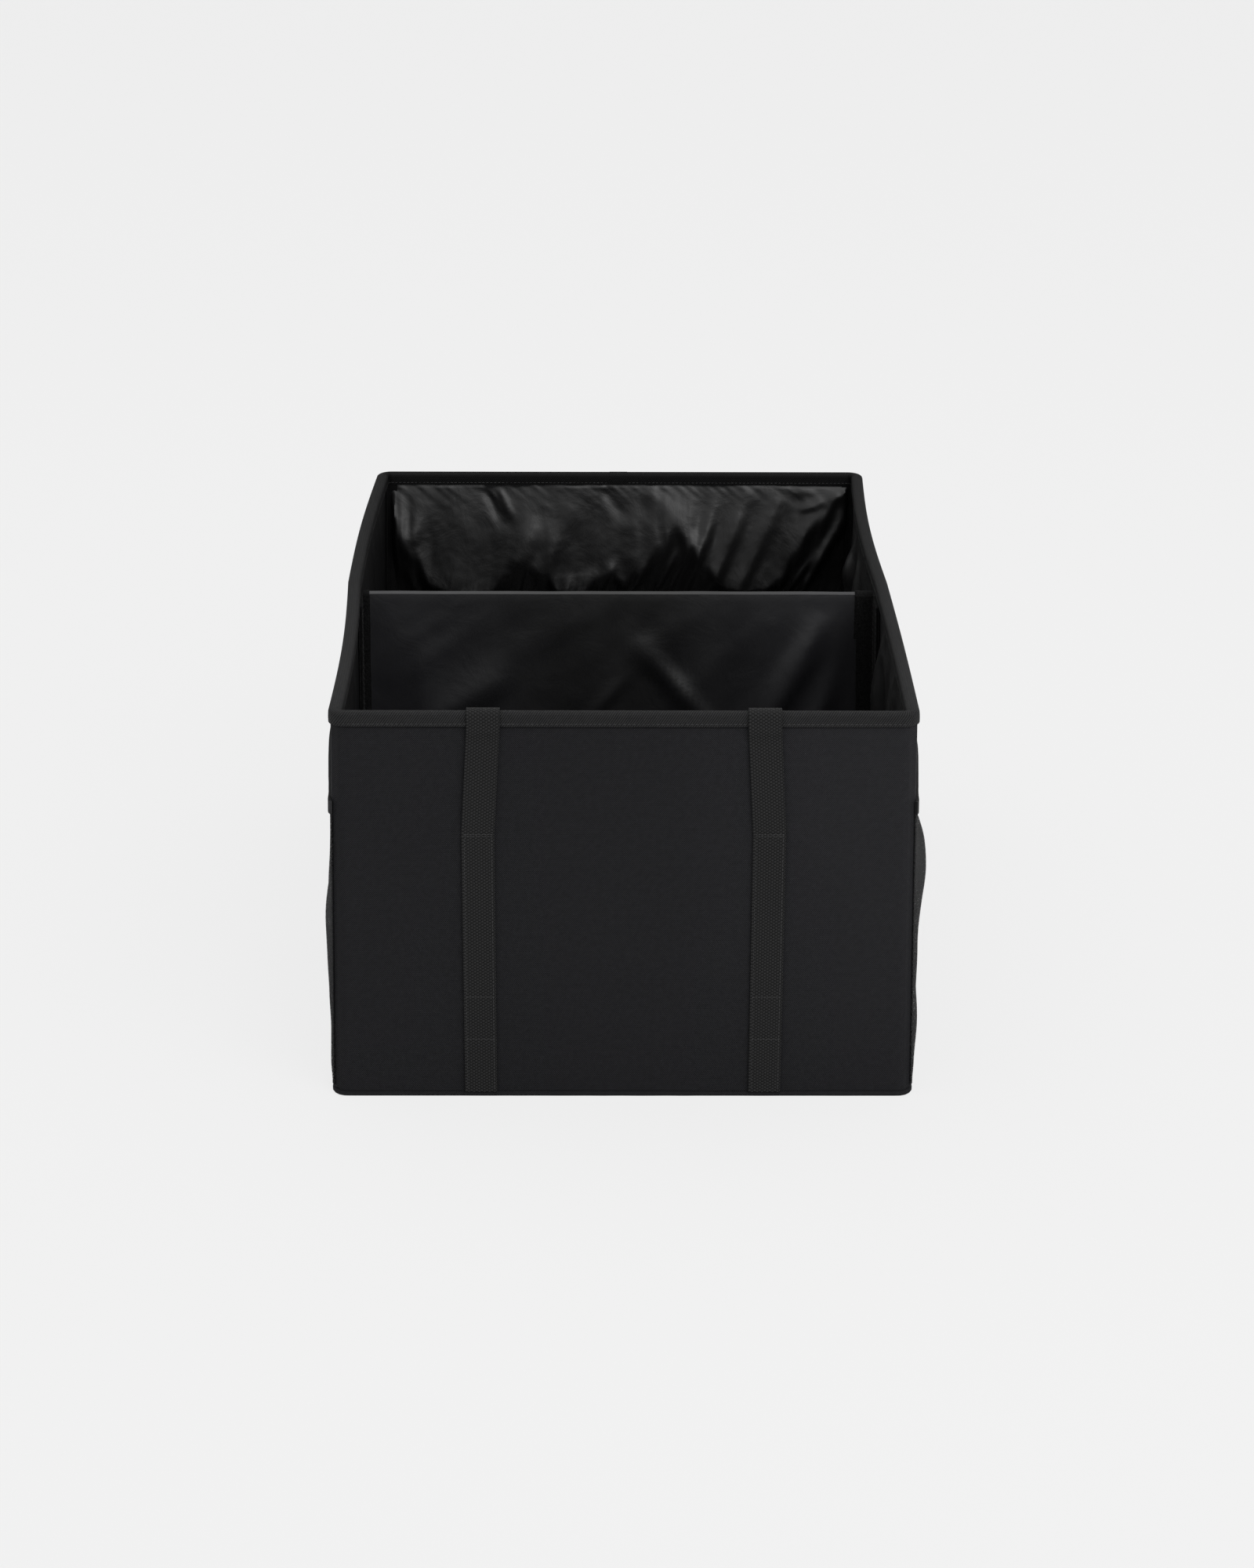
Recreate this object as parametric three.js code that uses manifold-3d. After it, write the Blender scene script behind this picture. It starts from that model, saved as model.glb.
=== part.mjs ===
// A collapsible car trunk organizer: a lined twill box stiffened by flat boards, with one upright divider,
// two webbing handles and a mesh pocket along each long side.
// Millimetres, +Z up. The origin is on the floor under the middle of the box, the photographed end faces -Y.
import * as THREE from "three";
import { mergeVertices } from "three/addons/utils/BufferGeometryUtils.js";
import Module from "manifold-3d";

const wasm = await Module();
wasm.setup();

// Overall size
const WIDTH = 353; // across the rim, outer twill to outer twill
const LENGTH = 500; // end wall to end wall
const HEIGHT = 257; // floor to the top of the rim binding
const BASE_FLARE = 5; // the base boards hold each long wall this much further out at the floor
const CORNER_R = 9; // plan radius of the sewn corners

// Sheet stock, from the outside of a wall to its inside
const GAP = 0.3; // left between neighbouring pieces
const TWILL = 1.2; // outer polyester twill
const BOARD = 3; // stiffener
const LINING = 0.8; // coated lining
const TAPE = 1; // binding and seam tapes
const WEBBING = 1.4; // handle webbing
const MESH = 0.5; // pocket mesh
const ELASTIC = 1.6; // pocket mouth band

// Long walls: each is two boards with a soft fold between them, where the divider stands
const FOLD_GAP = 4; // from the fold line to the edge of each board
const BOW_AT_FLOOR = 0.25; // share of a long wall's bow that is left at the floor
const LEFT_BOW = { fold: 4.5, front: -2.5, rear: 2 }; // outward at the fold and at the middle of each board
const RIGHT_BOW = { fold: -0.8, front: 0.6, rear: -3 };
const END_BULGE = 1.5; // outward at the middle of each end wall

// Rim and floor seams
const RIM_LEG = 8.5; // how far the rim binding reaches down each face of the wall
const RIM_CROWN = 2.2; // rise of the binding's rounded top above its legs
const RIM_SEAT = 0.3; // the wall's top edge stays this far under the binding's shoulders
const WELT_H = 3.6; // folded seam allowance that shows under the walls
const WELT_DEPTH = 3.4; // how far the welt reaches in under the wall
const WELT_PROUD = 0.6; // how far it stands out past the twill
const SEAM_TAPE_LEG = 6; // each leg of a tape in an inner corner

// Divider
const DIVIDER_DROP = 8; // its top lies this far under the rim
const LOOP_TAPE = 1.2; // thickness of the loop strip on the wall
const LOOP_WIDTH = 25;
const TAB_LAP = { left: 5, right: 11.5 }; // how much of each hook tab lies on the divider's face
const TAB_END = 2; // the tabs and strips stop this far short of the divider's top and foot

// Handles
const WEB_WIDTH = 20;
const STRAP_X = 88.5; // half the distance between a handle's sewn legs
const STRAP_RIM_X = 84.6; // and between them where they cross the rim
const SEWN_TOP = 78; // the legs are sewn from the floor seam to this far under the rim
const FRONT_DROP = 104; // how deep the loop that is flipped inside hangs under the rim
const BACK_RISE = 20; // how far the other handle stands up from its stitching before it folds over
const BACK_DROP = 136; // how deep its loop hangs under that fold
const LOOP_TWIST = THREE.MathUtils.degToRad(40); // turn of the webbing at the bottom of a loop
// Down one half of a hanging loop, as [share of the half width, share of the drop, stand-off of its centre]
const LOOP_SHAPE = [
  [1, 0, 2.3],
  [1, 0.28, 3],
  [0.9, 0.62, 6],
  [0.55, 0.91, 11],
  [0, 1, 12.5],
];

// Mesh pockets
const POCKET_TOP = 198; // top of the elastic mouth above the floor
const ELASTIC_H = 8;
const POCKET_FOOT = 6;
const MESH_ROUND = 0.6; // below 1, the mesh leaves its seams steeply
const MOUTH_ROUND = 1.4; // above 1, the taut elastic leaves them gently
// Bulge of the mesh off the wall, as [height, front pocket, rear pocket]
const LEFT_POCKET = [
  [POCKET_FOOT, 0, 0],
  [14, 5, 5],
  [38, 4.8, 7],
  [60, 6.8, 8],
  [90, 10.2, 12],
  [123, 7.6, 13],
  [150, 6.8, 9],
  [POCKET_TOP, 7.5, 7.5],
];
const RIGHT_POCKET = [
  [POCKET_FOOT, 0, 0],
  [14, 5, 5],
  [38, 8.5, 6],
  [60, 7, 8],
  [90, 9.2, 12],
  [123, 15, 13],
  [150, 8.5, 10],
  [POCKET_TOP, 7.5, 7.5],
];
const MESH_ROWS = [14, 38, 60, 90, 123, 150]; // heights at which the solid mesh is bent

// Lining: the upper part of the back wall hangs loose in folds over a gathered seam
const LOOSE_DEPTH = 93; // from the rim to the gathered seam of the back lining
const FOLD_HEIGHT = 4.2; // how far the largest folds stand off the wall
const GATHERS = 16; // along the seam
const FLAT_EDGE = 9; // a lining lies flat this close to its seams and to what is sewn on it
const FADE = 14; // over this much further in, its folds reach their full height
// Folds of the loose back lining, as [place along the wall, lean, height], place and lean as shares of the width
const BACK_FOLDS = [
  [-0.78, 0.2, 0.5],
  [-0.52, 0.16, 0.8],
  [-0.27, 0.22, 0.7],
  [0.02, 0.24, 0.9],
  [0.28, 0.26, 1],
  [0.52, 0.24, 0.8],
  [0.74, 0.28, 0.9],
];
const FOLD_WIDTH = 0.1; // of one fold, as a share of half the wall
const LEFT_BILLOW = { waves: 3, height: 1.2 }; // the side linings only stand off a little
const RIGHT_BILLOW = { waves: 4, height: 2.4 };

// Depths inward from the outer twill face
const BOARD_IN = TWILL + GAP;
const LINING_IN = BOARD_IN + BOARD + GAP;
const WALL = LINING_IN + LINING;
const ON_LINING = WALL + GAP;
const ON_TWILL = -GAP;

// Heights
const WALL_FOOT = GAP + WELT_H + GAP;
const WALL_TOP = HEIGHT - RIM_CROWN - RIM_SEAT;
const FLOOR_LINING_Z = TWILL + GAP;
const FLOOR_TOP = FLOOR_LINING_Z + LINING + GAP;
const BASE_COVER_TOP = FLOOR_TOP + BOARD + GAP + LINING;
const DIVIDER_TOP = HEIGHT - DIVIDER_DROP;
const RIM_LEG_Z = HEIGHT - RIM_LEG;

const dividerHalf = BOARD / 2 + GAP + LINING; // half the divider's thickness

const paint = (colour, roughness) => new THREE.MeshStandardMaterial({ color: colour, roughness, metalness: 0 });
const twill = paint(0x242426, 0.85);
const binding = paint(0x272728, 0.8);
const webbing = paint(0x252525, 0.75);
const lining = paint(0x141516, 0.32);
const board = paint(0x4a4a48, 0.7);
const hookTape = paint(0x0b0b0c, 0.95);
const mesh = paint(0x1c1c1d, 0.8);

const organizer = new THREE.Group();

function add(name, geometry, material) {
  const piece = new THREE.Mesh(geometry, material);
  piece.name = name;
  organizer.add(piece);
}

// The four walls, counter-clockwise from above. A wall's stations run along it in the direction along
const vec = (x, y) => new THREE.Vector2(x, y);
const FRONT = { name: "front", along: vec(1, 0), out: vec(0, -1) };
const RIGHT = { name: "right", along: vec(0, 1), out: vec(1, 0), bow: RIGHT_BOW };
const BACK = { name: "back", along: vec(-1, 0), out: vec(0, 1) };
const LEFT = { name: "left", along: vec(0, -1), out: vec(-1, 0), bow: LEFT_BOW };
const WALLS = [FRONT, RIGHT, BACK, LEFT];
const LONG_WALLS = [LEFT, RIGHT];

const flareAt = (z) => BASE_FLARE * (1 - z / HEIGHT);
const LONG_HALF = LENGTH / 2 - CORNER_R; // half the straight part of a long wall
const straightHalf = (wall, z) => (wall.bow ? LONG_HALF : WIDTH / 2 + flareAt(z) - CORNER_R);

// How far a wall stands out of its plane. place runs from -1 to 1 over the straight part of the wall
function bowAt(wall, place, z) {
  if (!wall.bow) return END_BULGE * Math.cos((place * Math.PI) / 2) * Math.sin((Math.PI * z) / HEIGHT);
  const y = place * wall.along.y;
  const { fold, front, rear } = wall.bow;
  const panel = (y < 0 ? front : rear) * Math.sin(Math.PI * Math.abs(y));
  return (fold * (1 - Math.abs(y)) + panel) * (BOW_AT_FLOOR + (1 - BOW_AT_FLOOR) * (z / HEIGHT));
}

// A point of a wall at a station, a height and a depth inward from the outer twill face
function wallPoint(wall, station, z, depth) {
  const { place, turn = 0 } = station;
  const reach = wall.bow ? WIDTH / 2 + flareAt(z) : LENGTH / 2;
  const r = CORNER_R - depth;
  const s = place * straightHalf(wall, z) + Math.sin(turn) * r;
  const o = reach - CORNER_R + Math.cos(turn) * r + bowAt(wall, place, z);
  return new THREE.Vector3(wall.along.x * s + wall.out.x * o, wall.along.y * s + wall.out.y * o, z);
}

const steps = (from, to, n) => Array.from({ length: n + 1 }, (_, i) => from + ((to - from) * i) / n);
const straight = (from, to, n) => steps(from, to, n).map((place) => ({ place }));

// Stations over a wall and round part of the corner at each end of it
const wallAndCorners = (n, arcs, end) => [
  ...steps(-end, 0, arcs).slice(0, -1).map((turn) => ({ place: -1, turn })),
  ...straight(-1, 1, n),
  ...steps(0, end, arcs).slice(1).map((turn) => ({ place: 1, turn })),
];

// The same over a whole wall with half of each corner, less a seam gap at each end
const fullWall = (n, arcs, depth = 0) => wallAndCorners(n, arcs, Math.PI / 4 - GAP / 2 / (CORNER_R - depth));

// A thin solid between two faces, given as a grid of [one face, other face] points
function skin(grid, closed = false) {
  const n = grid.length;
  const m = grid[0].length;
  const position = grid.flatMap((row) => row.flatMap(([a, b]) => [...a.toArray(), ...b.toArray()]));
  const index = [];
  const at = (i, j, face) => ((i % n) * m + j) * 2 + face;
  const quad = (a, b, c, d) => index.push(a, b, c, a, c, d);
  for (let i = 0; i < (closed ? n : n - 1); i++) {
    for (let j = 0; j < m - 1; j++) {
      quad(at(i, j, 0), at(i + 1, j, 0), at(i + 1, j + 1, 0), at(i, j + 1, 0));
      quad(at(i, j, 1), at(i, j + 1, 1), at(i + 1, j + 1, 1), at(i + 1, j, 1));
    }
    quad(at(i, 0, 0), at(i, 0, 1), at(i + 1, 0, 1), at(i + 1, 0, 0));
    quad(at(i, m - 1, 0), at(i + 1, m - 1, 0), at(i + 1, m - 1, 1), at(i, m - 1, 1));
  }
  if (!closed)
    for (let j = 0; j < m - 1; j++) {
      quad(at(0, j, 0), at(0, j + 1, 0), at(0, j + 1, 1), at(0, j, 1));
      quad(at(n - 1, j, 0), at(n - 1, j, 1), at(n - 1, j + 1, 1), at(n - 1, j + 1, 0));
    }
  const geometry = new THREE.BufferGeometry();
  geometry.setAttribute("position", new THREE.Float32BufferAttribute(position, 3));
  geometry.setIndex(signedVolume(position, index) < 0 ? index.toReversed() : index);
  geometry.computeVertexNormals();
  return geometry;
}

function signedVolume(position, index) {
  const corner = (i) => new THREE.Vector3().fromArray(position, index[i] * 3);
  let sum = 0;
  for (let i = 0; i < index.length; i += 3) sum += corner(i).dot(corner(i + 1).cross(corner(i + 2)));
  return sum / 6;
}

// A layer of a wall between two depths. relief moves both faces further in
function layer(wall, stations, heights, from, to, relief = () => 0) {
  return skin(
    stations.map((station) =>
      heights.map((z) => {
        const shift = relief(station, z);
        return [wallPoint(wall, station, z, from + shift), wallPoint(wall, station, z, to + shift)];
      }),
    ),
  );
}

// Outer twill, one cut panel for each wall, seamed at the corners
for (const wall of WALLS) {
  const stations = fullWall(wall.bow ? 12 : 6, 3);
  const heights = steps(WALL_FOOT, WALL_TOP, wall.bow ? 2 : 4);
  add(`${wall.name}_outer_panel`, layer(wall, stations, heights, 0, TWILL), twill);
}

// Stations over all four walls and the corners between them
const loopStations = (n, arcs) =>
  WALLS.flatMap((wall) => {
    const stations = wallAndCorners(wall.bow ? n * 2 : n, arcs, Math.PI / 4);
    return stations.slice(0, -1).map((station) => ({ wall, station }));
  });

function plate(shape, z, thickness) {
  const slab = new THREE.ExtrudeGeometry(shape, { depth: thickness, bevelEnabled: false, curveSegments: 4 });
  return slab.translate(0, 0, z);
}

// Floor: outer twill and lining, both cut to the inside of the floor seam
const floorOutline = loopStations(4, 3).map(({ wall, station }) => {
  const { x, y } = wallPoint(wall, station, 0, WELT_DEPTH + GAP);
  return new THREE.Vector2(x, y);
});
add("bottom_outer_panel", plate(new THREE.Shape(floorOutline), 0, TWILL), twill);
add("bottom_lining", plate(new THREE.Shape(floorOutline), FLOOR_LINING_Z, LINING), lining);

// Welt: the folded seam allowance between the floor and the walls
const weltMiddle = GAP + WELT_H / 2;
const weltRound = steps(Math.PI / 2, -Math.PI / 2, 3);
add(
  "bottom_welt",
  skin(
    loopStations(4, 3).map(({ wall, station }) =>
      weltRound.map((angle) => {
        const z = weltMiddle + (WELT_H / 2) * Math.sin(angle);
        const outer = WELT_PROUD - (WELT_PROUD * 2) * Math.cos(angle);
        const p = (depth) => wallPoint(wall, station, z, depth);
        return [p(outer), p(WELT_DEPTH)];
      }),
    ),
    true,
  ),
  binding,
);

// Stiffener boards: one in each end wall, two in each long wall with the fold between them
const boardHeights = steps(WALL_FOOT, WALL_TOP - GAP, 3);
for (const wall of [FRONT, BACK]) {
  const stations = straight(-1, 1, 4);
  add(`${wall.name}_board`, layer(wall, stations, boardHeights, BOARD_IN, BOARD_IN + BOARD), board);
}
for (const wall of LONG_WALLS) {
  const foldShare = FOLD_GAP / LONG_HALF;
  for (const [half, sign] of [["front", -1], ["rear", 1]]) {
    const end = sign * wall.along.y;
    const stations = straight(end * foldShare, end, 4);
    const solid = layer(wall, stations, boardHeights, BOARD_IN, BOARD_IN + BOARD);
    add(`${wall.name}_${half}_board`, solid, board);
  }
}

// Lining of the walls. fade is 0 within FLAT_EDGE of a seam and 1 well away from it
const fade = (distance) => THREE.MathUtils.smoothstep(distance, FLAT_EDGE, FLAT_EDGE + FADE);
const fromSideSeam = (wall, station, z) => (1 - Math.abs(station.place)) * straightHalf(wall, z);

// The back lining: long folds lean over the loose part, and gathers stand over its seam
const LOOSE_FOOT = HEIGHT - LOOSE_DEPTH;
const LINING_TOP = WALL_TOP - GAP;
const UNDER_RIM = RIM_LEG_Z - GAP;
function backRelief(station, z) {
  const up = (z - LOOSE_FOOT) / (UNDER_RIM - LOOSE_FOOT);
  if (up <= 0 || up >= 1 || station.turn) return 0;
  const x = -station.place;
  const folds = BACK_FOLDS.map(([place, lean, height]) => {
    const off = (x - place - lean * (up - 0.5)) / FOLD_WIDTH;
    return height * Math.exp(-off * off);
  });
  const gathers = 0.3 * (1 - up) * (1 - Math.cos(Math.PI * GATHERS * (x + 1)));
  const ends = fade(fromSideSeam(BACK, station, z));
  return FOLD_HEIGHT * Math.min(1, Math.max(...folds) + gathers) * ends * Math.sin(Math.PI * up) ** 0.5;
}
const backRows = [...steps(FLOOR_TOP, LOOSE_FOOT, 2), ...steps(LOOSE_FOOT, UNDER_RIM, 5).slice(1), LINING_TOP];
const backStations = fullWall(GATHERS * 2, 2, LINING_IN);
add("back_lining", layer(BACK, backStations, backRows, LINING_IN, WALL, backRelief), lining);
const frontStations = fullWall(8, 2, LINING_IN);
const frontRows = steps(FLOOR_TOP, LINING_TOP, 4);
add("front_lining", layer(FRONT, frontStations, frontRows, LINING_IN, WALL), lining);

// The side linings lie flat at the fold, where the divider and its strips are
const foldFlat = dividerHalf + GAP + LOOP_WIDTH;
function billow(wall, { waves, height }) {
  return (station, z) => {
    if (station.turn) return 0;
    const fromFold = Math.abs(station.place) * straightHalf(wall, z) - foldFlat;
    const across = fade(fromSideSeam(wall, station, z)) * fade(fromFold + FLAT_EDGE);
    const up = fade(z - BASE_COVER_TOP) * fade(UNDER_RIM + FLAT_EDGE - z);
    return height * across * up * (0.5 + 0.5 * Math.sin(waves * station.place * Math.PI + z / 28));
  };
}
const bay = steps(foldFlat / LONG_HALF, 1 - FLAT_EDGE / LONG_HALF, 6);
const cornersOnly = fullWall(1, 2, LINING_IN);
const sideStations = [
  ...cornersOnly.slice(0, 3),
  ...bay.toReversed().map((place) => ({ place: -place })),
  { place: 0 },
  ...bay.map((place) => ({ place })),
  ...cornersOnly.slice(-3),
];
const sideRows = [...steps(FLOOR_TOP, UNDER_RIM, 6), LINING_TOP];
for (const [wall, shape] of [[LEFT, LEFT_BILLOW], [RIGHT, RIGHT_BILLOW]]) {
  const solid = layer(wall, sideStations, sideRows, LINING_IN, WALL, billow(wall, shape));
  add(`${wall.name}_lining`, solid, lining);
}

// Tapes over the lining's seams in the four inner corners
WALLS.forEach((wall, i) => {
  const next = WALLS[(i + 1) % WALLS.length];
  const heights = steps(BASE_COVER_TOP + GAP, RIM_LEG_Z - GAP, 3);
  const leg = (w, z) => 1 - SEAM_TAPE_LEG / straightHalf(w, z);
  const stations = [
    (z) => [wall, { place: leg(wall, z) }],
    () => [wall, { place: 1 }],
    () => [wall, { place: 1, turn: Math.PI / 8 }],
    () => [wall, { place: 1, turn: Math.PI / 4 }],
    () => [next, { place: -1, turn: -Math.PI / 8 }],
    () => [next, { place: -1 }],
    (z) => [next, { place: -leg(next, z) }],
  ];
  const grid = stations.map((where) =>
    heights.map((z) => [ON_LINING, ON_LINING + TAPE].map((depth) => wallPoint(...where(z), z, depth))),
  );
  add(`${wall.name}_${next.name}_seam_tape`, skin(grid), binding);
});

// Rim binding: one tape folded over the top edge of all four walls
const rimMiddle = WALL / 2;
const rimHalf = WALL / 2 + GAP;
const shoulder = HEIGHT - RIM_CROWN;
const rimSection = [
  [Math.PI, RIM_LEG_Z],
  ...steps(Math.PI, 0, 4).map((angle) => [angle, null]),
  [0, RIM_LEG_Z],
];
add(
  "rim_binding",
  skin(
    loopStations(6, 3).map(({ wall, station }) =>
      rimSection.map(([angle, legZ]) =>
        [TAPE, 0].map((cover) => {
          const z = legZ ?? shoulder + (RIM_CROWN - TAPE + cover) * Math.sin(angle);
          return wallPoint(wall, station, z, rimMiddle + (rimHalf + cover) * Math.cos(angle));
        }),
      ),
    ),
    true,
  ),
  binding,
);

// How near a long wall comes to the middle of the box
const narrowest = (wall, places, heights, depth) =>
  Math.min(...places.flatMap((place) => heights.map((z) => Math.abs(wallPoint(wall, { place }, z, depth).x))));

// Divider: a board in a sleeve of lining, folded over its top
const TAB_STACK = LOOP_TAPE + GAP + TAPE + GAP;
const dividerRoom = (wall) => narrowest(wall, [0], steps(FLOOR_TOP, DIVIDER_TOP, 8), ON_LINING + TAB_STACK);
const dividerLeft = -dividerRoom(LEFT);
const dividerRight = dividerRoom(RIGHT);

const sleeveTop = DIVIDER_TOP - dividerHalf; // where its round top begins
const dividerBoard = new THREE.BoxGeometry(dividerRight - dividerLeft - 2 * GAP, BOARD, sleeveTop - FLOOR_TOP);
dividerBoard.translate((dividerLeft + dividerRight) / 2, 0, (sleeveTop + FLOOR_TOP) / 2);
add("divider_board", dividerBoard, board);

const sleeveSection = [
  ...steps(FLOOR_TOP, sleeveTop, 3).slice(0, -1).map((z) => ({ side: -1, z })),
  ...steps(Math.PI, 0, 6).map((angle) => ({ angle })),
  ...steps(sleeveTop, FLOOR_TOP, 3).slice(1).map((z) => ({ side: 1, z })),
];
add(
  "divider_sleeve",
  skin(
    steps(dividerLeft, dividerRight, 8).map((x) =>
      sleeveSection.map(({ side: face, z, angle }) =>
        [dividerHalf, dividerHalf - LINING].map((r) =>
          angle === undefined
            ? new THREE.Vector3(x, face * r, z)
            : new THREE.Vector3(x, r * Math.cos(angle), sleeveTop + r * Math.sin(angle)),
        ),
      ),
    ),
  ),
  lining,
);

// Hook tabs on the divider's ends, pressed onto loop strips that are sewn to the long walls in front of the fold
for (const wall of LONG_WALLS) {
  const heights = steps(BASE_COVER_TOP + TAB_END, DIVIDER_TOP - TAB_END, 4);
  const at = (y) => ({ place: (y / LONG_HALF) * wall.along.y });
  const face = dividerHalf + GAP;
  const end = face + LOOP_WIDTH;
  const stripStations = steps(-end, -face, 2).map(at);
  add(`${wall.name}_loop_strip`, layer(wall, stripStations, heights, ON_LINING, ON_LINING + LOOP_TAPE), hookTape);

  const onStrip = ON_LINING + LOOP_TAPE + GAP;
  const lap = TAB_LAP[wall.name];
  const corner = (y, z, depth) => wallPoint(wall, at(-y), z, depth);
  const path = [
    (z, t) => corner(face + t, z, onStrip + lap),
    (z, t) => corner(face + t, z, onStrip + t),
    (z, t) => corner(face + LOOP_WIDTH / 2, z, onStrip + t),
    (z, t) => corner(end, z, onStrip + t),
  ];
  const grid = path.map((point) => heights.map((z) => [point(z, 0), point(z, TAPE)]));
  add(`${wall.name}_hook_tab`, skin(grid), hookTape);
}

// Base boards, one in each compartment, each in a cover of lining that is open underneath
function solidOf(geometry) {
  const plain = geometry.clone();
  plain.deleteAttribute("normal");
  plain.deleteAttribute("uv");
  const merged = mergeVertices(plain, 1e-3);
  const vertProperties = merged.attributes.position.array;
  const triVerts = new Uint32Array(merged.index.array);
  return new wasm.Manifold(new wasm.Mesh({ numProp: 3, vertProperties, triVerts }));
}

function geometryOf(solid) {
  const { vertProperties, triVerts } = solid.getMesh();
  const geometry = new THREE.BufferGeometry();
  geometry.setAttribute("position", new THREE.BufferAttribute(vertProperties, 3));
  geometry.setIndex(new THREE.BufferAttribute(triVerts, 1));
  geometry.computeVertexNormals();
  return geometry;
}

function roundedRectangle(x0, y0, x1, y1, r) {
  const shape = new THREE.Shape();
  shape.moveTo(x0 + r, y0);
  shape.absarc(x1 - r, y0 + r, r, -Math.PI / 2, 0);
  shape.absarc(x1 - r, y1 - r, r, 0, Math.PI / 2);
  shape.absarc(x0 + r, y1 - r, r, Math.PI / 2, Math.PI);
  shape.absarc(x0 + r, y0 + r, r, Math.PI, Math.PI * 1.5);
  return shape;
}

const BASE_CLEAR = 0.9; // between a base cover and the walls or divider round it
const BASE_R = 6; // its corner radius
const baseRoom = (wall) => narrowest(wall, steps(-1, 1, 16), [FLOOR_TOP, BASE_COVER_TOP], WALL + BASE_CLEAR);
const baseNear = dividerHalf + BASE_CLEAR;
const baseFar = LENGTH / 2 - WALL - BASE_CLEAR;
for (const [half, sign] of [["front", -1], ["rear", 1]]) {
  const [y0, y1] = [sign * baseNear, sign * baseFar].sort((a, b) => a - b);
  const outline = (inset) =>
    roundedRectangle(-baseRoom(LEFT) + inset, y0 + inset, baseRoom(RIGHT) - inset, y1 - inset, BASE_R - inset);
  const block = solidOf(plate(outline(0), FLOOR_TOP, BASE_COVER_TOP - FLOOR_TOP));
  const pocket = solidOf(plate(outline(LINING), FLOOR_TOP - GAP, BOARD + 2 * GAP));
  add(`${half}_base_cover`, geometryOf(block.subtract(pocket)), lining);
  add(`${half}_base_board`, plate(outline(LINING + GAP), FLOOR_TOP, BOARD), board);
}

// Webbing along a centre line. Each stop has a place and the way that the width runs there
function webbingStrip(stops) {
  return skin(
    stops.map(({ p, across }, i) => {
      const ahead = stops[Math.min(i + 1, stops.length - 1)].p;
      const behind = stops[Math.max(i - 1, 0)].p;
      const tangent = ahead.clone().sub(behind).normalize();
      const normal = tangent.clone().cross(across).normalize();
      const width = normal.clone().cross(tangent);
      return [-WEB_WIDTH / 2, WEB_WIDTH / 2].map((w) => {
        const edge = p.clone().addScaledVector(width, w);
        return [-WEBBING / 2, WEBBING / 2].map((t) => edge.clone().addScaledVector(normal, t));
      });
    }),
  );
}

const ACROSS = new THREE.Vector3(1, 0, 0);
const AWAY = new THREE.Vector3(0, 1, 0); // off the wall that a loop hangs on, for both handles
const LOOP_STOPS = 10;

const smooth = (x) => THREE.MathUtils.smoothstep(x, 0, 1);

// One half of a hanging loop, from (-reach, wallY, top) to its lowest point
function hangingHalf(reach, wallY, top, drop) {
  const at = ([share, down, off]) => new THREE.Vector3(-reach * share, wallY + off, top - down * drop);
  const points = LOOP_SHAPE.map(at);
  const mirrored = points.slice(0, -1).toReversed().map((p) => new THREE.Vector3(-p.x, p.y, p.z));
  const curve = new THREE.CatmullRomCurve3([...points, ...mirrored]);
  return steps(0, 0.5, LOOP_STOPS).map((t) => {
    const tangent = curve.getTangentAt(t);
    const twist = LOOP_TWIST * smooth(t * 2);
    const level = tangent.clone().cross(AWAY).multiplyScalar(Math.cos(twist));
    return { p: curve.getPointAt(t), across: level.addScaledVector(AWAY, -Math.sin(twist)) };
  });
}

// Both halves of a handle, from the stops of its left half
function wholeHandle(half) {
  const flip = (v) => new THREE.Vector3(-v.x, v.y, v.z);
  const right = half.slice(0, -1).toReversed().map(({ p, across }) => ({ p: flip(p), across: flip(across) }));
  return webbingStrip([...half, ...right]);
}

// The left leg of a handle. It leans in to reachAtRim above its stitching
const sewnTop = HEIGHT - SEWN_TOP;
function legPoint(wall, z, depth, reachAtRim = STRAP_X) {
  const up = THREE.MathUtils.clamp((z - sewnTop) / (RIM_LEG_Z - sewnTop), 0, 1);
  const x = -THREE.MathUtils.lerp(STRAP_X, reachAtRim, up);
  return wallPoint(wall, { place: (x * wall.along.x) / straightHalf(wall, z) }, z, depth);
}
const legStops = (wall, heights, depth, reachAtRim) =>
  heights.map((z) => ({ p: legPoint(wall, z, depth, reachAtRim), across: ACROSS }));

const onTwill = ON_TWILL - WEBBING / 2;
const overRim = WALL / 2 + GAP + TAPE + GAP + WEBBING / 2; // half the width of the webbing's turn over the rim
const overRimTurn = steps(Math.PI, 0, 8).flatMap((angle) => {
  const z = shoulder + (RIM_CROWN + GAP + WEBBING / 2) * Math.sin(angle);
  return legStops(FRONT, [z], rimMiddle + overRim * Math.cos(angle), STRAP_RIM_X);
});

// Front handle: up the outside, over the rim, and hanging inside
const insideStart = RIM_LEG_Z - 4;
const insideWallY = -LENGTH / 2 + WALL;
add(
  "front_handle",
  wholeHandle([
    ...legStops(FRONT, [...steps(WALL_FOOT, sewnTop, 4), RIM_LEG_Z - 10], onTwill, STRAP_RIM_X),
    ...legStops(FRONT, [RIM_LEG_Z - 3, RIM_LEG_Z + 2], rimMiddle - overRim, STRAP_RIM_X),
    ...overRimTurn,
    ...hangingHalf(STRAP_RIM_X, insideWallY + 0.3, insideStart, FRONT_DROP),
  ]),
  webbing,
);

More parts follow.
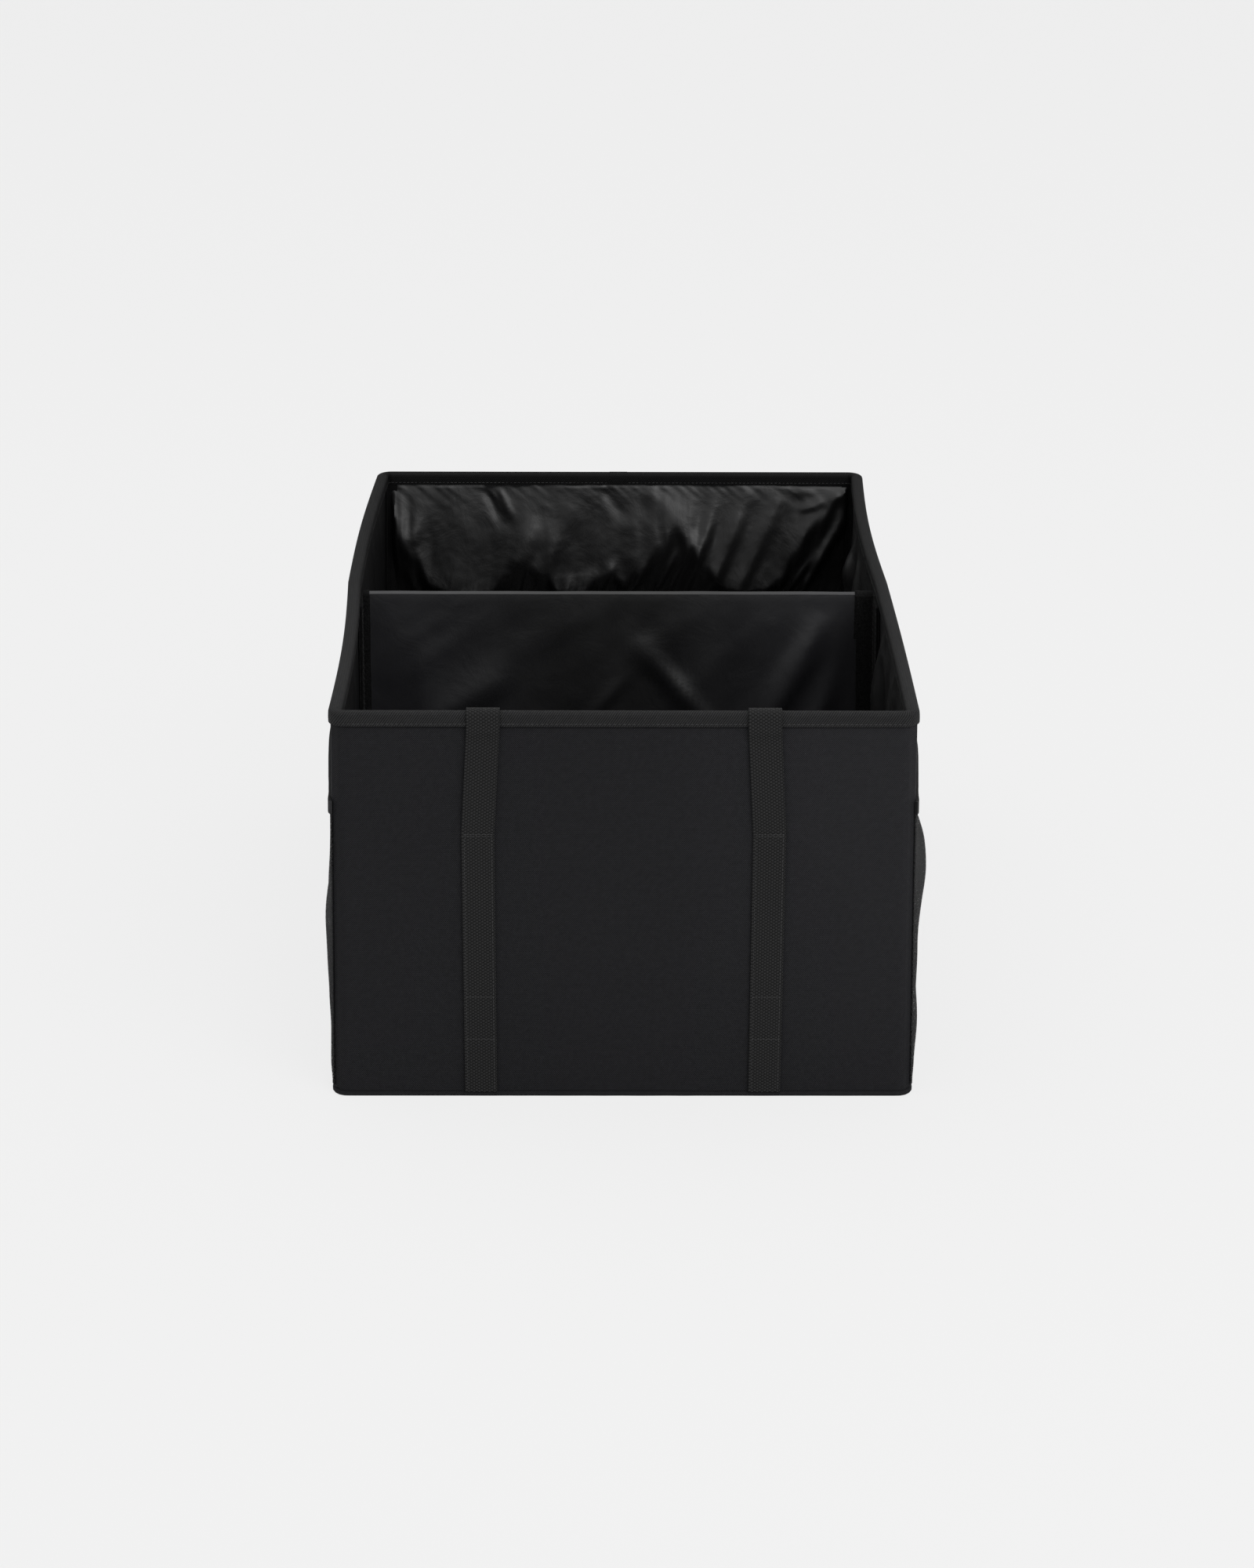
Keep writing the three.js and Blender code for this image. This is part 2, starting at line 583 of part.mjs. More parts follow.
// Back handle: sewn up the outside in the same way, its free loop folded over outwards
const backFoldR = 3;
const backFoldZ = sewnTop + BACK_RISE;
const backFaceY = legPoint(BACK, backFoldZ, onTwill).y;
const backFold = steps(Math.PI, 0, 6).map((angle) => ({
  p: new THREE.Vector3(
    -STRAP_X,
    backFaceY + backFoldR + backFoldR * Math.cos(angle),
    backFoldZ + backFoldR * Math.sin(angle),
  ),
  across: ACROSS,
}));
add(
  "back_handle",
  wholeHandle([
    ...legStops(BACK, [...steps(WALL_FOOT, sewnTop, 4), backFoldZ - 6], onTwill),
    ...backFold,
    ...hangingHalf(STRAP_X, backFaceY + 2 * backFoldR - 1.6, backFoldZ - 6, BACK_DROP),
  ]),
  webbing,
);

// Mesh pockets: one net along each long wall, sewn down at the corners, the floor seam and the fold
function readTable(table, z, column) {
  const i = Math.max(table.findIndex(([h]) => h >= z), 1);
  const below = table[i - 1];
  const above = table[i];
  const t = smooth((z - below[0]) / (above[0] - below[0]));
  return below[column] + (above[column] - below[column]) * t;
}

function pocketBulge(wall, table, station, z) {
  if (station.turn) return 0;
  const y = station.place * wall.along.y;
  const power = THREE.MathUtils.lerp(MESH_ROUND, MOUTH_ROUND, (z / POCKET_TOP) ** 3);
  return Math.abs(Math.sin(Math.PI * y)) ** power * readTable(table, z, y < 0 ? 1 : 2);
}

const meshTop = POCKET_TOP - ELASTIC_H - GAP;
for (const [wall, table] of [[LEFT, LEFT_POCKET], [RIGHT, RIGHT_POCKET]]) {
  const stations = wallAndCorners(20, 2, Math.PI / 6);
  const bulge = (station, z) => -pocketBulge(wall, table, station, z);
  const heights = [POCKET_FOOT, ...MESH_ROWS, meshTop];
  add(`${wall.name}_mesh_pocket`, layer(wall, stations, heights, ON_TWILL - MESH, ON_TWILL, bulge), mesh);
  const band = steps(meshTop + GAP, POCKET_TOP, 1);
  add(`${wall.name}_pocket_elastic`, layer(wall, stations, band, ON_TWILL - ELASTIC, ON_TWILL, bulge), binding);
}

export default organizer;
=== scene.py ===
"""A collapsible car trunk organizer, dressed piece by piece in the order in which it is sewn together.

The box is black polyester twill over flat boards, with a coated lining, a loose divider, two webbing
handles and a mesh pocket along each long side.
"""

import math

import bpy
import numpy as np
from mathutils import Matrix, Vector, noise


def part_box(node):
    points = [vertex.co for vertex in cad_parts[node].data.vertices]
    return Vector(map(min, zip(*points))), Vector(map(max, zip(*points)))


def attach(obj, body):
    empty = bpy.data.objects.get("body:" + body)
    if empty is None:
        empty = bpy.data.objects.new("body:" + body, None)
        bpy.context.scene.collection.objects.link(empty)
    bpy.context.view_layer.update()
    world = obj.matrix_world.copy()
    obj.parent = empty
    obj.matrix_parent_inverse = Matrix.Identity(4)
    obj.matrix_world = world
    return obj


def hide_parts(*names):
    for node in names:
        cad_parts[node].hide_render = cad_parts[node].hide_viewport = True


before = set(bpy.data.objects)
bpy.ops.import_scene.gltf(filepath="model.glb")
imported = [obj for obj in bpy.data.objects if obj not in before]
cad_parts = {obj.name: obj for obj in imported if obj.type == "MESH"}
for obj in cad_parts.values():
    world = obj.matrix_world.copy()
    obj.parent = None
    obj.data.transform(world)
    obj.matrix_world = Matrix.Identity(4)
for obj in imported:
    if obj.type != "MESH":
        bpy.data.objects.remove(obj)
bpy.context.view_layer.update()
bpy.ops.object.select_all(action="DESELECT")

# The camera stands in front of the narrow end, above the box, and looks down into it.
# A long lens keeps the front corners square while the side walls still run together.
bpy.ops.object.camera_add(
    location=(-0.0154, -2.1515, 0.9791),
    rotation=(math.radians(68.007), math.radians(-0.24), math.radians(-0.423)),
)
camera = bpy.context.object
camera.name = "photo_camera"
camera.data.lens = 78.05
bpy.context.scene.camera = camera
bpy.context.scene.view_settings.view_transform = "Standard"

# The box stands on a wide pale sweep of studio paper.
# The paper shows its own even colour to the lens, with a soft shadow where the box stands.
PAPER_COLOUR = (0.863, 0.863, 0.863, 1)


def put_node(tree, kind, values=(), **settings):
    """Adds a shader node. values are numbers, colours or the sockets that feed its inputs."""
    made = tree.nodes.new("ShaderNode" + kind)
    for key, value in settings.items():
        setattr(made, key, value)
    for key, value in dict(values).items():
        if isinstance(value, bpy.types.NodeSocket):
            tree.links.new(value, made.inputs[key])
        else:
            made.inputs[key].default_value = value
    return made


def pick(piece, kind, chosen):
    """Goes into edit mode with only the chosen edges or faces of a piece selected."""
    bpy.ops.object.mode_set(mode="OBJECT")
    for part in piece.data.edges if kind == "EDGE" else piece.data.polygons:
        part.select = chosen(part)
    bpy.ops.object.mode_set(mode="EDIT")
    bpy.ops.mesh.select_mode(type=kind)


def heights(piece, edge, axis=2):
    """Where both ends of an edge lie along an axis."""
    return [piece.data.vertices[i].co[axis] for i in edge.vertices]


bpy.ops.mesh.primitive_plane_add(size=9, location=(0, 0.5, 0))
paper = bpy.context.object
paper.name = paper.data.name = "studio_paper"
bpy.ops.object.mode_set(mode="EDIT")
bpy.ops.mesh.select_all(action="DESELECT")
pick(paper, "EDGE", lambda edge: min(heights(paper, edge, axis=1)) > 4)
bpy.ops.mesh.extrude_region_move(TRANSFORM_OT_translate={"value": (0, 0.6, 4)})
bpy.ops.object.mode_set(mode="OBJECT")
bpy.ops.object.select_all(action="DESELECT")
paper_finish = bpy.data.materials.new("studio_paper")
paper_finish.use_nodes = True
tree = paper_finish.node_tree
tree.nodes.clear()
matt = put_node(tree, "BsdfDiffuse", {"Color": PAPER_COLOUR})
glow = put_node(tree, "Emission", {"Color": PAPER_COLOUR, "Strength": 1.02})
ray = put_node(tree, "LightPath")
share = put_node(tree, "Math", {0: ray.outputs["Is Camera Ray"], 1: 0.9}, operation="MULTIPLY")
mixed = put_node(tree, "MixShader", {0: share.outputs[0], 1: matt.outputs[0], 2: glow.outputs[0]})
put_node(tree, "OutputMaterial", {"Surface": mixed.outputs[0]})
paper.data.materials.append(paper_finish)

# The light is an even white room, with one broad soft panel overhead and one high up at the front right.
# The panels are what the coated lining mirrors in its folds.
room = bpy.data.worlds.new("white_room")
bpy.context.scene.world = room
room.use_nodes = True
backing = room.node_tree.nodes["Background"]
backing.inputs["Color"].default_value = PAPER_COLOUR
seen = put_node(room.node_tree, "LightPath").outputs["Is Camera Ray"]
strength = put_node(room.node_tree, "MapRange", {0: seen, 3: 0.8, 4: 1.0}).outputs[0]
room.node_tree.links.new(strength, backing.inputs["Strength"])
for name, place, aim, size, power in (
    ("overhead_panel", (-0.3, 0.1, 2.1), (0, 0, 0.1), 1.8, 9),
    ("front_panel", (1.3, -2.1, 1.9), (0, 0, 0.15), 2.0, 32),
):
    bpy.ops.object.light_add(type="AREA", location=place)
    lamp = bpy.context.object
    lamp.name = lamp.data.name = name
    lamp.data.size = size
    lamp.data.energy = power
    lamp.rotation_euler = (Vector(aim) - Vector(place)).to_track_quat("-Z", "Y").to_euler()
bpy.ops.object.select_all(action="DESELECT")

# Stiffener boards stand inside every wall, in the divider and under the floor covers.
# They are plain grey board, die cut, and the cloth hides all of them.
def start_material(name):
    """A new material with its node tree, its shader and its Object coordinates."""
    material = bpy.data.materials.new(name)
    material.use_nodes = True
    tree = material.node_tree
    return material, tree, tree.nodes["Principled BSDF"], put_node(tree, "TexCoord").outputs["Object"]


def grain(tree, where, scale, detail):
    """A soft random pattern between 0 and 1."""
    return put_node(tree, "TexNoise", {"Vector": where, "Scale": scale, "Detail": detail}).outputs["Fac"]


board_finish, tree, shader, where = start_material("grey_board")
fibre = grain(tree, where, 900.0, 4.0)
pulp = put_node(tree, "ValToRGB", {"Fac": fibre})
pulp.color_ramp.elements[0].color = (0.13, 0.125, 0.115, 1)
pulp.color_ramp.elements[1].color = (0.24, 0.23, 0.21, 1)
tree.links.new(pulp.outputs["Color"], shader.inputs["Base Color"])
bump = put_node(tree, "Bump", {"Height": fibre, "Distance": 0.0002, "Strength": 0.4})
tree.links.new(bump.outputs["Normal"], shader.inputs["Normal"])
shader.inputs["Roughness"].default_value = 0.85
for name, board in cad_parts.items():
    if name.endswith("_board"):
        board.data.materials.clear()
        board.data.materials.append(board_finish)

# The outer shell is four panels and a bottom of heavy black polyester twill, seamed at the corners.
# The boards keep the panels flat, so only a little looseness shows, and the corner seams pinch in.
GAP = 0.0003
TWILL = 0.0012
BOARD = 0.003
LINING = 0.0008
WIDTH, LENGTH, HEIGHT = 0.353, 0.500, 0.257
BASE_FLARE = 0.005
CORNER_R = 0.009
END_BULGE = 0.0015
BOW_AT_FLOOR = 0.25
FRONT = {"name": "front", "along": (1, 0), "out": (0, -1), "bow": None}
RIGHT = {"name": "right", "along": (0, 1), "out": (1, 0), "bow": (-0.0008, 0.0006, -0.003)}
BACK = {"name": "back", "along": (-1, 0), "out": (0, 1), "bow": None}
LEFT = {"name": "left", "along": (0, -1), "out": (-1, 0), "bow": (0.0045, -0.0025, 0.002)}
WALLS = (FRONT, RIGHT, BACK, LEFT)
WALL_FOOT = 0.0042
WALL_TOP = 0.2545


def straight_half(wall, z):
    """Half the flat length of a wall between its rounded corners."""
    if wall["bow"]:
        return LENGTH / 2 - CORNER_R
    return WIDTH / 2 + BASE_FLARE * (1 - z / HEIGHT) - CORNER_R


def wall_point(wall, s, z, depth):
    """A point s along a wall from its middle, at height z and a depth in from the outer cloth."""
    half = straight_half(wall, z)
    place = max(-1.0, min(1.0, s / half))
    turn = (s - place * half) / CORNER_R
    y = place * wall["along"][1]
    if wall["bow"]:
        fold, front, rear = wall["bow"]
        reach = WIDTH / 2 + BASE_FLARE * (1 - z / HEIGHT)
        bow = fold * (1 - abs(y)) + (front if y < 0 else rear) * math.sin(math.pi * abs(y))
        bow *= BOW_AT_FLOOR + (1 - BOW_AT_FLOOR) * z / HEIGHT
    else:
        reach = LENGTH / 2
        bow = END_BULGE * math.cos(place * math.pi / 2) * math.sin(math.pi * z / HEIGHT)
    r = CORNER_R - depth
    side = place * half + math.sin(turn) * r
    out = reach - CORNER_R + math.cos(turn) * r + bow
    (ax, ay), (ox, oy) = wall["along"], wall["out"]
    return Vector((ax * side + ox * out, ay * side + oy * out, z))


def slack(wall, s, z):
    """How far the outer cloth of a wall stands off its boards."""
    seed = 3.7 * WALLS.index(wall)
    broad = noise.noise(Vector((s * 9, z * 7, seed)))
    fine = noise.noise(Vector((s * 30 + z * 12, z * 16, seed + 9)))
    return 0.00035 * broad + 0.00012 * fine


def folds_at(u, v, folds, aspect):
    """How far the long folds of a cloth lift it at u, v. aspect is its width over its height.

    Each fold runs from u0, v0 to u1, v1 and has a width, as a share of the cloth's, and a height.
    """
    lift = 0.0
    for u0, v0, u1, v1, wide, high in folds:
        dx, dy = (u1 - u0) * aspect, v1 - v0
        px, py = (u - u0) * aspect, v - v0
        along = (px * dx + py * dy) / (dx * dx + dy * dy)
        if -0.2 < along < 1.3:
            aside = (px * dy - py * dx) / math.hypot(dx, dy)
            spread = aside / (wide * aspect * (0.6 + 0.6 * min(max(along, 0), 1)))
            fade = min(1, (along + 0.2) / 0.35) * min(1, (1.3 - along) / 0.7)
            lift += high * fade * fade * (3 - 2 * fade) * math.exp(-spread * spread)
    return lift


def board_names(wall):
    """The board or boards that a wall's cloths lie on."""
    if wall["bow"]:
        return [f"{wall['name']}_front_board", f"{wall['name']}_rear_board"]
    return [f"{wall['name']}_board"]


def weave_sheet(name, columns, rows, width, height, at):
    """A flat cloth, width by height, laid where at(u, v) puts each thread crossing."""
    bpy.ops.mesh.primitive_grid_add(x_subdivisions=columns, y_subdivisions=rows, size=1)
    piece = bpy.context.object
    piece.name = piece.data.name = name
    for uv in piece.data.uv_layers.active.data:
        uv.uv = (uv.uv[0] * width, uv.uv[1] * height)
    for vertex in piece.data.vertices:
        vertex.co = at(vertex.co.x + 0.5, vertex.co.y + 0.5)
    return piece


def mend_mesh(merge=False, face_out=True):
    """Joins the points of a mesh that meet, or faces it outwards, or both."""
    bpy.ops.object.mode_set(mode="EDIT")
    bpy.ops.mesh.select_all(action="SELECT")
    if merge:
        bpy.ops.mesh.remove_doubles(threshold=0.00002)
    if face_out:
        bpy.ops.mesh.normals_make_consistent(inside=False)
    bpy.ops.object.mode_set(mode="OBJECT")


def thicken(piece, thickness, merge=False):
    """Gives a sheet its thickness, equal on both sides, and faces it outwards."""
    if merge:
        mend_mesh(merge=True, face_out=False)
    body = piece.modifiers.new("cloth_thickness", "SOLIDIFY")
    body.thickness = thickness
    body.offset = 0
    bpy.ops.object.modifier_apply(modifier=body.name)
    mend_mesh()
    bpy.ops.object.shade_smooth_by_angle(angle=math.radians(50))


def finish_piece(piece, material, slot, *nodes):
    """Dresses a piece, hides the plain solids that it stands for, and lets it go."""
    piece.data.materials.clear()
    piece.data.materials.append(material)
    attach(piece, "root")
    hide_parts(*nodes)
    bpy.ops.object.select_all(action="DESELECT")


def start_group(name, inputs, outputs):
    """A shader group with the named number inputs and outputs, and its two end nodes."""
    group = bpy.data.node_groups.new(name, "ShaderNodeTree")
    for label, kind, value in inputs:
        socket = group.interface.new_socket(label, in_out="INPUT", socket_type=kind)
        if value is not None:
            socket.default_value = value
    for label in outputs:
        group.interface.new_socket(label, in_out="OUTPUT", socket_type="NodeSocketFloat")
    ends = group.nodes.new("NodeGroupInput"), group.nodes.new("NodeGroupOutput")
    return group, *ends


def calc(tree, operation, *values):
    """One arithmetic node, and its result."""
    return put_node(tree, "Math", dict(enumerate(values)), operation=operation).outputs[0]


# twill_weave: slanting ribs of a twill, broken up into yarns, with a little unevenness.
twill_weave, inlet, outlet = start_group(
    "twill_weave",
    [
        ("Vector", "NodeSocketVector", None),
        ("Pitch", "NodeSocketFloat", 0.0013),
        ("Slant", "NodeSocketFloat", 1.0),
        ("Unevenness", "NodeSocketFloat", 0.3),
    ],
    ["Height", "Shade"],
)
tree = twill_weave
parts = put_node(tree, "SeparateXYZ", {0: inlet.outputs["Vector"]}).outputs
wander = grain(tree, inlet.outputs["Vector"], 160.0, 2.0)
swing = calc(tree, "SUBTRACT", wander, 0.5)
drift = calc(tree, "MULTIPLY", swing, inlet.outputs["Unevenness"])
across = calc(tree, "DIVIDE", parts[0], inlet.outputs["Pitch"])
up = calc(tree, "DIVIDE", parts[1], inlet.outputs["Pitch"])
slanted = calc(tree, "SUBTRACT", across, calc(tree, "MULTIPLY", up, inlet.outputs["Slant"]))
rib = calc(tree, "PINGPONG", calc(tree, "ADD", slanted, drift), 0.5)
yarn = calc(tree, "PINGPONG", calc(tree, "MULTIPLY", up, 1.5), 0.5)
woven = calc(tree, "ADD", calc(tree, "MULTIPLY", rib, 1.5), calc(tree, "MULTIPLY", yarn, 0.5))
tree.links.new(woven, outlet.inputs["Height"])
lint = grain(tree, inlet.outputs["Vector"], 900.0, 3.0)
lint_shade = calc(tree, "MULTIPLY", lint, 0.2)
shade = calc(tree, "ADD", calc(tree, "MULTIPLY", woven, 1.5), lint_shade)
mottle = grain(tree, inlet.outputs["Vector"], 280.0, 2.0)
shade = calc(tree, "ADD", shade, calc(tree, "MULTIPLY", mottle, 0.4))
shade = calc(tree, "MAXIMUM", calc(tree, "SUBTRACT", shade, 0.45), 0.0)
tree.links.new(shade, outlet.inputs["Shade"])

# handling: broad soft patches where the cloth is a little lighter or darker.
handling, inlet, outlet = start_group(
    "handling",
    [("Vector", "NodeSocketVector", None), ("Amount", "NodeSocketFloat", 0.1)],
    ["Factor"],
)
tree = handling
cloud = grain(tree, inlet.outputs["Vector"], 9.0, 3.0)
swing = calc(tree, "MULTIPLY", calc(tree, "SUBTRACT", cloud, 0.5), inlet.outputs["Amount"])
tree.links.new(calc(tree, "ADD", swing, 1.0), outlet.inputs["Factor"])


def cloth_material(name, dark, light, roughness, shine, weave, distance, strength=1.0, patchy=0.3):
    """A woven cloth whose colour runs from dark in the hollows to light on the yarns.

    weave(tree, uv) returns the Height and Shade sockets of the cloth's own pattern.
    """
    material, tree, shader, place = start_material(name)
    uv = put_node(tree, "UVMap", uv_map="UVMap").outputs["UV"]
    height, shade = weave(tree, uv)
    patch = put_node(tree, "Group", node_tree=handling)
    tree.links.new(place, patch.inputs["Vector"])
    patch.inputs["Amount"].default_value = patchy
    tone = calc(tree, "MULTIPLY", shade, patch.outputs["Factor"])
    colour = put_node(tree, "Mix", {0: tone, 6: dark, 7: light}, data_type="RGBA", clamp_factor=True)
    tree.links.new(colour.outputs[2], shader.inputs["Base Color"])
    bump = put_node(tree, "Bump", {"Height": height, "Distance": distance, "Strength": strength})
    tree.links.new(bump.outputs["Normal"], shader.inputs["Normal"])
    shader.inputs["Roughness"].default_value = roughness
    shader.inputs["Specular IOR Level"].default_value = shine
    return material


def twill_at(pitch, slant=1.0):
    """The pattern of a twill with ribs pitch apart."""

    def weave(tree, uv):
        made = put_node(tree, "Group", node_tree=twill_weave)
        tree.links.new(uv, made.inputs["Vector"])
        made.inputs["Pitch"].default_value = pitch
        made.inputs["Slant"].default_value = slant
        return made.outputs["Height"], made.outputs["Shade"]

    return weave


def place_in(tree):
    """The X, Y and Z of a material's own Object coordinates."""
    coordinates = next(n for n in tree.nodes if n.type == "TEX_COORD").outputs["Object"]
    return put_node(tree, "SeparateXYZ", {0: coordinates}).outputs


def ramp(tree, value, start, end, low, high):
    """Runs from low to high while a value runs from start to end."""
    return put_node(tree, "MapRange", {0: value, 1: start, 2: end, 3: low, 4: high}).outputs[0]


def paint_tone(tree, factor):
    """Multiplies how much of its light colour a cloth shows."""
    blend = tree.nodes["Principled BSDF"].inputs["Base Color"].links[0].from_node
    tree.links.new(calc(tree, "MULTIPLY", blend.inputs[0].links[0].from_socket, factor), blend.inputs[0])


twill_finish = cloth_material(
    "black_twill", (0.001, 0.001, 0.0014, 1), (0.021, 0.021, 0.0234, 1), 0.75, 0.12, twill_at(0.0013), 0.0003
)
# Painted tones, fitted to the photo's one view and not seen to be in the cloth: the twill gets lighter to the
# upper right, and a line just under the binding is dark, where the photo has a shadow.
# The lighter upper right is painted light, and the dark line under the binding is a painted shadow.
tree = twill_finish.node_tree
place = place_in(tree)
rightward = ramp(tree, place["X"], 0.03, 0.15, 0.0, 0.6)
upward = ramp(tree, place["Z"], 0.02, 0.17, 0.1, 1.0)
painted_corner_light = calc(tree, "ADD", calc(tree, "MULTIPLY", rightward, upward), 0.88)
painted_under_rim_shadow = ramp(tree, place["Z"], 0.2464, 0.2482, 1.0, 0.15)
paint_tone(tree, calc(tree, "MULTIPLY", painted_corner_light, painted_under_rim_shadow))
SEAM_TURN = CORNER_R * math.pi / 4 - 0.00008
FRONT_CREASES = (
    (0.775, 0.715, 0.85, 0.64, 0.012, 0.0009), (0.23, 0.715, 0.19, 0.66, 0.010, 0.0006),
    (0.66, 0.0, 0.67, 0.5, 0.012, 0.0004), (0.90, 0.95, 0.97, 0.70, 0.020, 0.0005),
    (0.80, 0.98, 0.83, 0.85, 0.015, 0.0004), (0.5, 0.98, 0.47, 0.8, 0.02, 0.0003),
)
for wall in WALLS:
    span = straight_half(wall, HEIGHT / 2) + SEAM_TURN

    def on_shell(u, v):
        z = WALL_FOOT + (WALL_TOP - WALL_FOOT) * v
        reach = straight_half(wall, z) + SEAM_TURN
        s = (2 * u - 1) * reach
        pinch = 0.0009 * math.exp(-(reach - abs(s)) / 0.0012)
        stand = slack(wall, s, z) * min(1, (reach - abs(s)) / 0.02)
        if wall is FRONT:
            stand += folds_at(u, v, FRONT_CREASES, 1.4)
        return wall_point(wall, s, z, TWILL / 2 + pinch - stand)

    columns = 150 if wall["bow"] else 110
    panel = weave_sheet(f"{wall['name']}_twill_panel", columns, 60, 2 * span, WALL_TOP - WALL_FOOT, on_shell)
    thicken(panel, TWILL)
    finish_piece(panel, twill_finish, "outer_twill", f"{wall['name']}_outer_panel")
    board_names(wall)


FLOOR_INSET = 0.0037


def floor_sheet(name, z, thickness, ripple, material, slot, node):
    """A cloth cut to the floor's outline, which follows the bows of the long walls."""
    low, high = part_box(node)

    def on_floor(u, v):
        straight = LENGTH / 2 - CORNER_R
        y = (2 * v - 1) * (LENGTH / 2 - FLOOR_INSET)
        along = max(-1.0, min(1.0, y / straight))
        left = wall_point(LEFT, -along * straight, 0, FLOOR_INSET).x
        right = wall_point(RIGHT, along * straight, 0, FLOOR_INSET).x
        over = max(0.0, abs(y) - straight)
        r = CORNER_R - FLOOR_INSET
        cut = r - math.sqrt(max(r * r - over * over, 0))
        x = left + cut + (right - left - 2 * cut) * u
        wave = ripple * (0.5 + 0.5 * noise.noise(Vector((x * 14, y * 14, 4))))
        return Vector((x, y, z + thickness / 2 + wave))

    sheet = weave_sheet(name, 90, 130, high[0] - low[0], high[1] - low[1], on_floor)
    thicken(sheet, thickness)
    finish_piece(sheet, material, slot, node)
    return sheet


floor_sheet("bottom_twill", 0, TWILL, 0.00015, twill_finish, "outer_twill", "bottom_outer_panel")

# The folded seam allowance of the floor seam shows as a thin rolled edge right round the foot.
# It is the same twill, bound into a narrow roll by the seam.
WELT_H = 0.0036
WELT_DEPTH = 0.0034
WELT_PROUD = 0.0006


def round_the_box(u, z):
    """The wall, and the place along it, that lies u of the way round the box from the back seam."""
    lengths = [2 * (straight_half(w, z) + CORNER_R * math.pi / 4) for w in WALLS]
    run = (u % 1.0) * sum(lengths)
    order = (2, 3, 0, 1)
    run += lengths[2] / 2
    if run >= sum(lengths):
        run -= sum(lengths)
    for i in order:
        if run <= lengths[i]:
            return WALLS[i], run - lengths[i] / 2
        run -= lengths[i]
    return WALLS[order[-1]], lengths[order[-1]] / 2


PERIMETER = sum(2 * (straight_half(w, HEIGHT) + CORNER_R * math.pi / 4) for w in WALLS)


def on_welt(u, v):
    z_middle = GAP + WELT_H / 2
    wall, s = round_the_box(u, 0.002)
    if v < 0.7:
        angle = math.pi / 2 - math.pi * v / 0.7
        z = z_middle + WELT_H / 2 * math.sin(angle)
        depth = WELT_PROUD - 2 * WELT_PROUD * math.cos(angle)
        kink = 0.00025 * noise.noise(Vector((s * 40, 0, 3.3 * WALLS.index(wall))))
        return wall_point(wall, s, z, depth - max(kink, 0)) + Vector((0, 0, kink if abs(angle) < 1.2 else 0))
    part = (v - 0.7) / 0.3
    z = z_middle - WELT_H / 2 if part < 0.5 else z_middle + WELT_H / 2
    if 0.02 < part < 0.98:
        return wall_point(wall, s, z, WELT_DEPTH)
    return wall_point(wall, s, z_middle + WELT_H / 2, WELT_PROUD)


welt = weave_sheet("bottom_welt_roll", 520, 16, PERIMETER, 0.010, on_welt)
mend_mesh(merge=True)
bpy.ops.object.shade_smooth_by_angle(angle=math.radians(50))
finish_piece(welt, twill_finish, "binding", "bottom_welt")

# The lining is thin coated polyester with a soft shine, seamed in the corners and held by the rim binding.
# The front one is flat and the side ones are a little loose. The upper part of the back one is a loose panel.
LINING_IN = TWILL + GAP + BOARD + GAP
WALL = LINING_IN + LINING
FLOOR_TOP = 0.0026
LINING_TOP = WALL_TOP - GAP
UNDER_RIM = 0.2482
LOOSE_FOOT = 0.164


def plain_weave(tree, uv):
    """The fine even threads that show faintly through a coating."""
    threads = grain(tree, uv, 1500.0, 2.0)
    return threads, threads


def coated_material(name, dark, light, roughness, shine, crinkle):
    """A coated cloth: fine threads under a film, with small creases that break up its shine."""
    material = cloth_material(name, dark, light, roughness, shine, plain_weave, 0.00003, 0.3, 0.2)
    tree = material.node_tree
    shader = tree.nodes["Principled BSDF"]
    place = next(n for n in tree.nodes if n.type == "TEX_COORD").outputs["Object"]
    look = {"Vector": place, "Scale": 34.0, "Detail": 5.0, "Roughness": 0.55, "Distortion": 0.6}
    creases = put_node(tree, "TexNoise", look)
    thread_bump = shader.inputs["Normal"].links[0].from_socket
    bump = put_node(tree, "Bump", {"Height": creases.outputs["Fac"], "Distance": crinkle, "Strength": 1.0})
    tree.links.new(thread_bump, bump.inputs["Normal"])
    tree.links.new(bump.outputs["Normal"], shader.inputs["Normal"])
    rough = ramp(tree, grain(tree, place, 22.0, 3.0), 0.3, 0.7, roughness - 0.05, roughness + 0.07)
    tree.links.new(rough, shader.inputs["Roughness"])
    return material


lining_finish = coated_material(
    "black_coated_lining", (0.0025, 0.0025, 0.0027, 1), (0.006, 0.006, 0.0063, 1), 0.4, 0.6, 0.0009
)


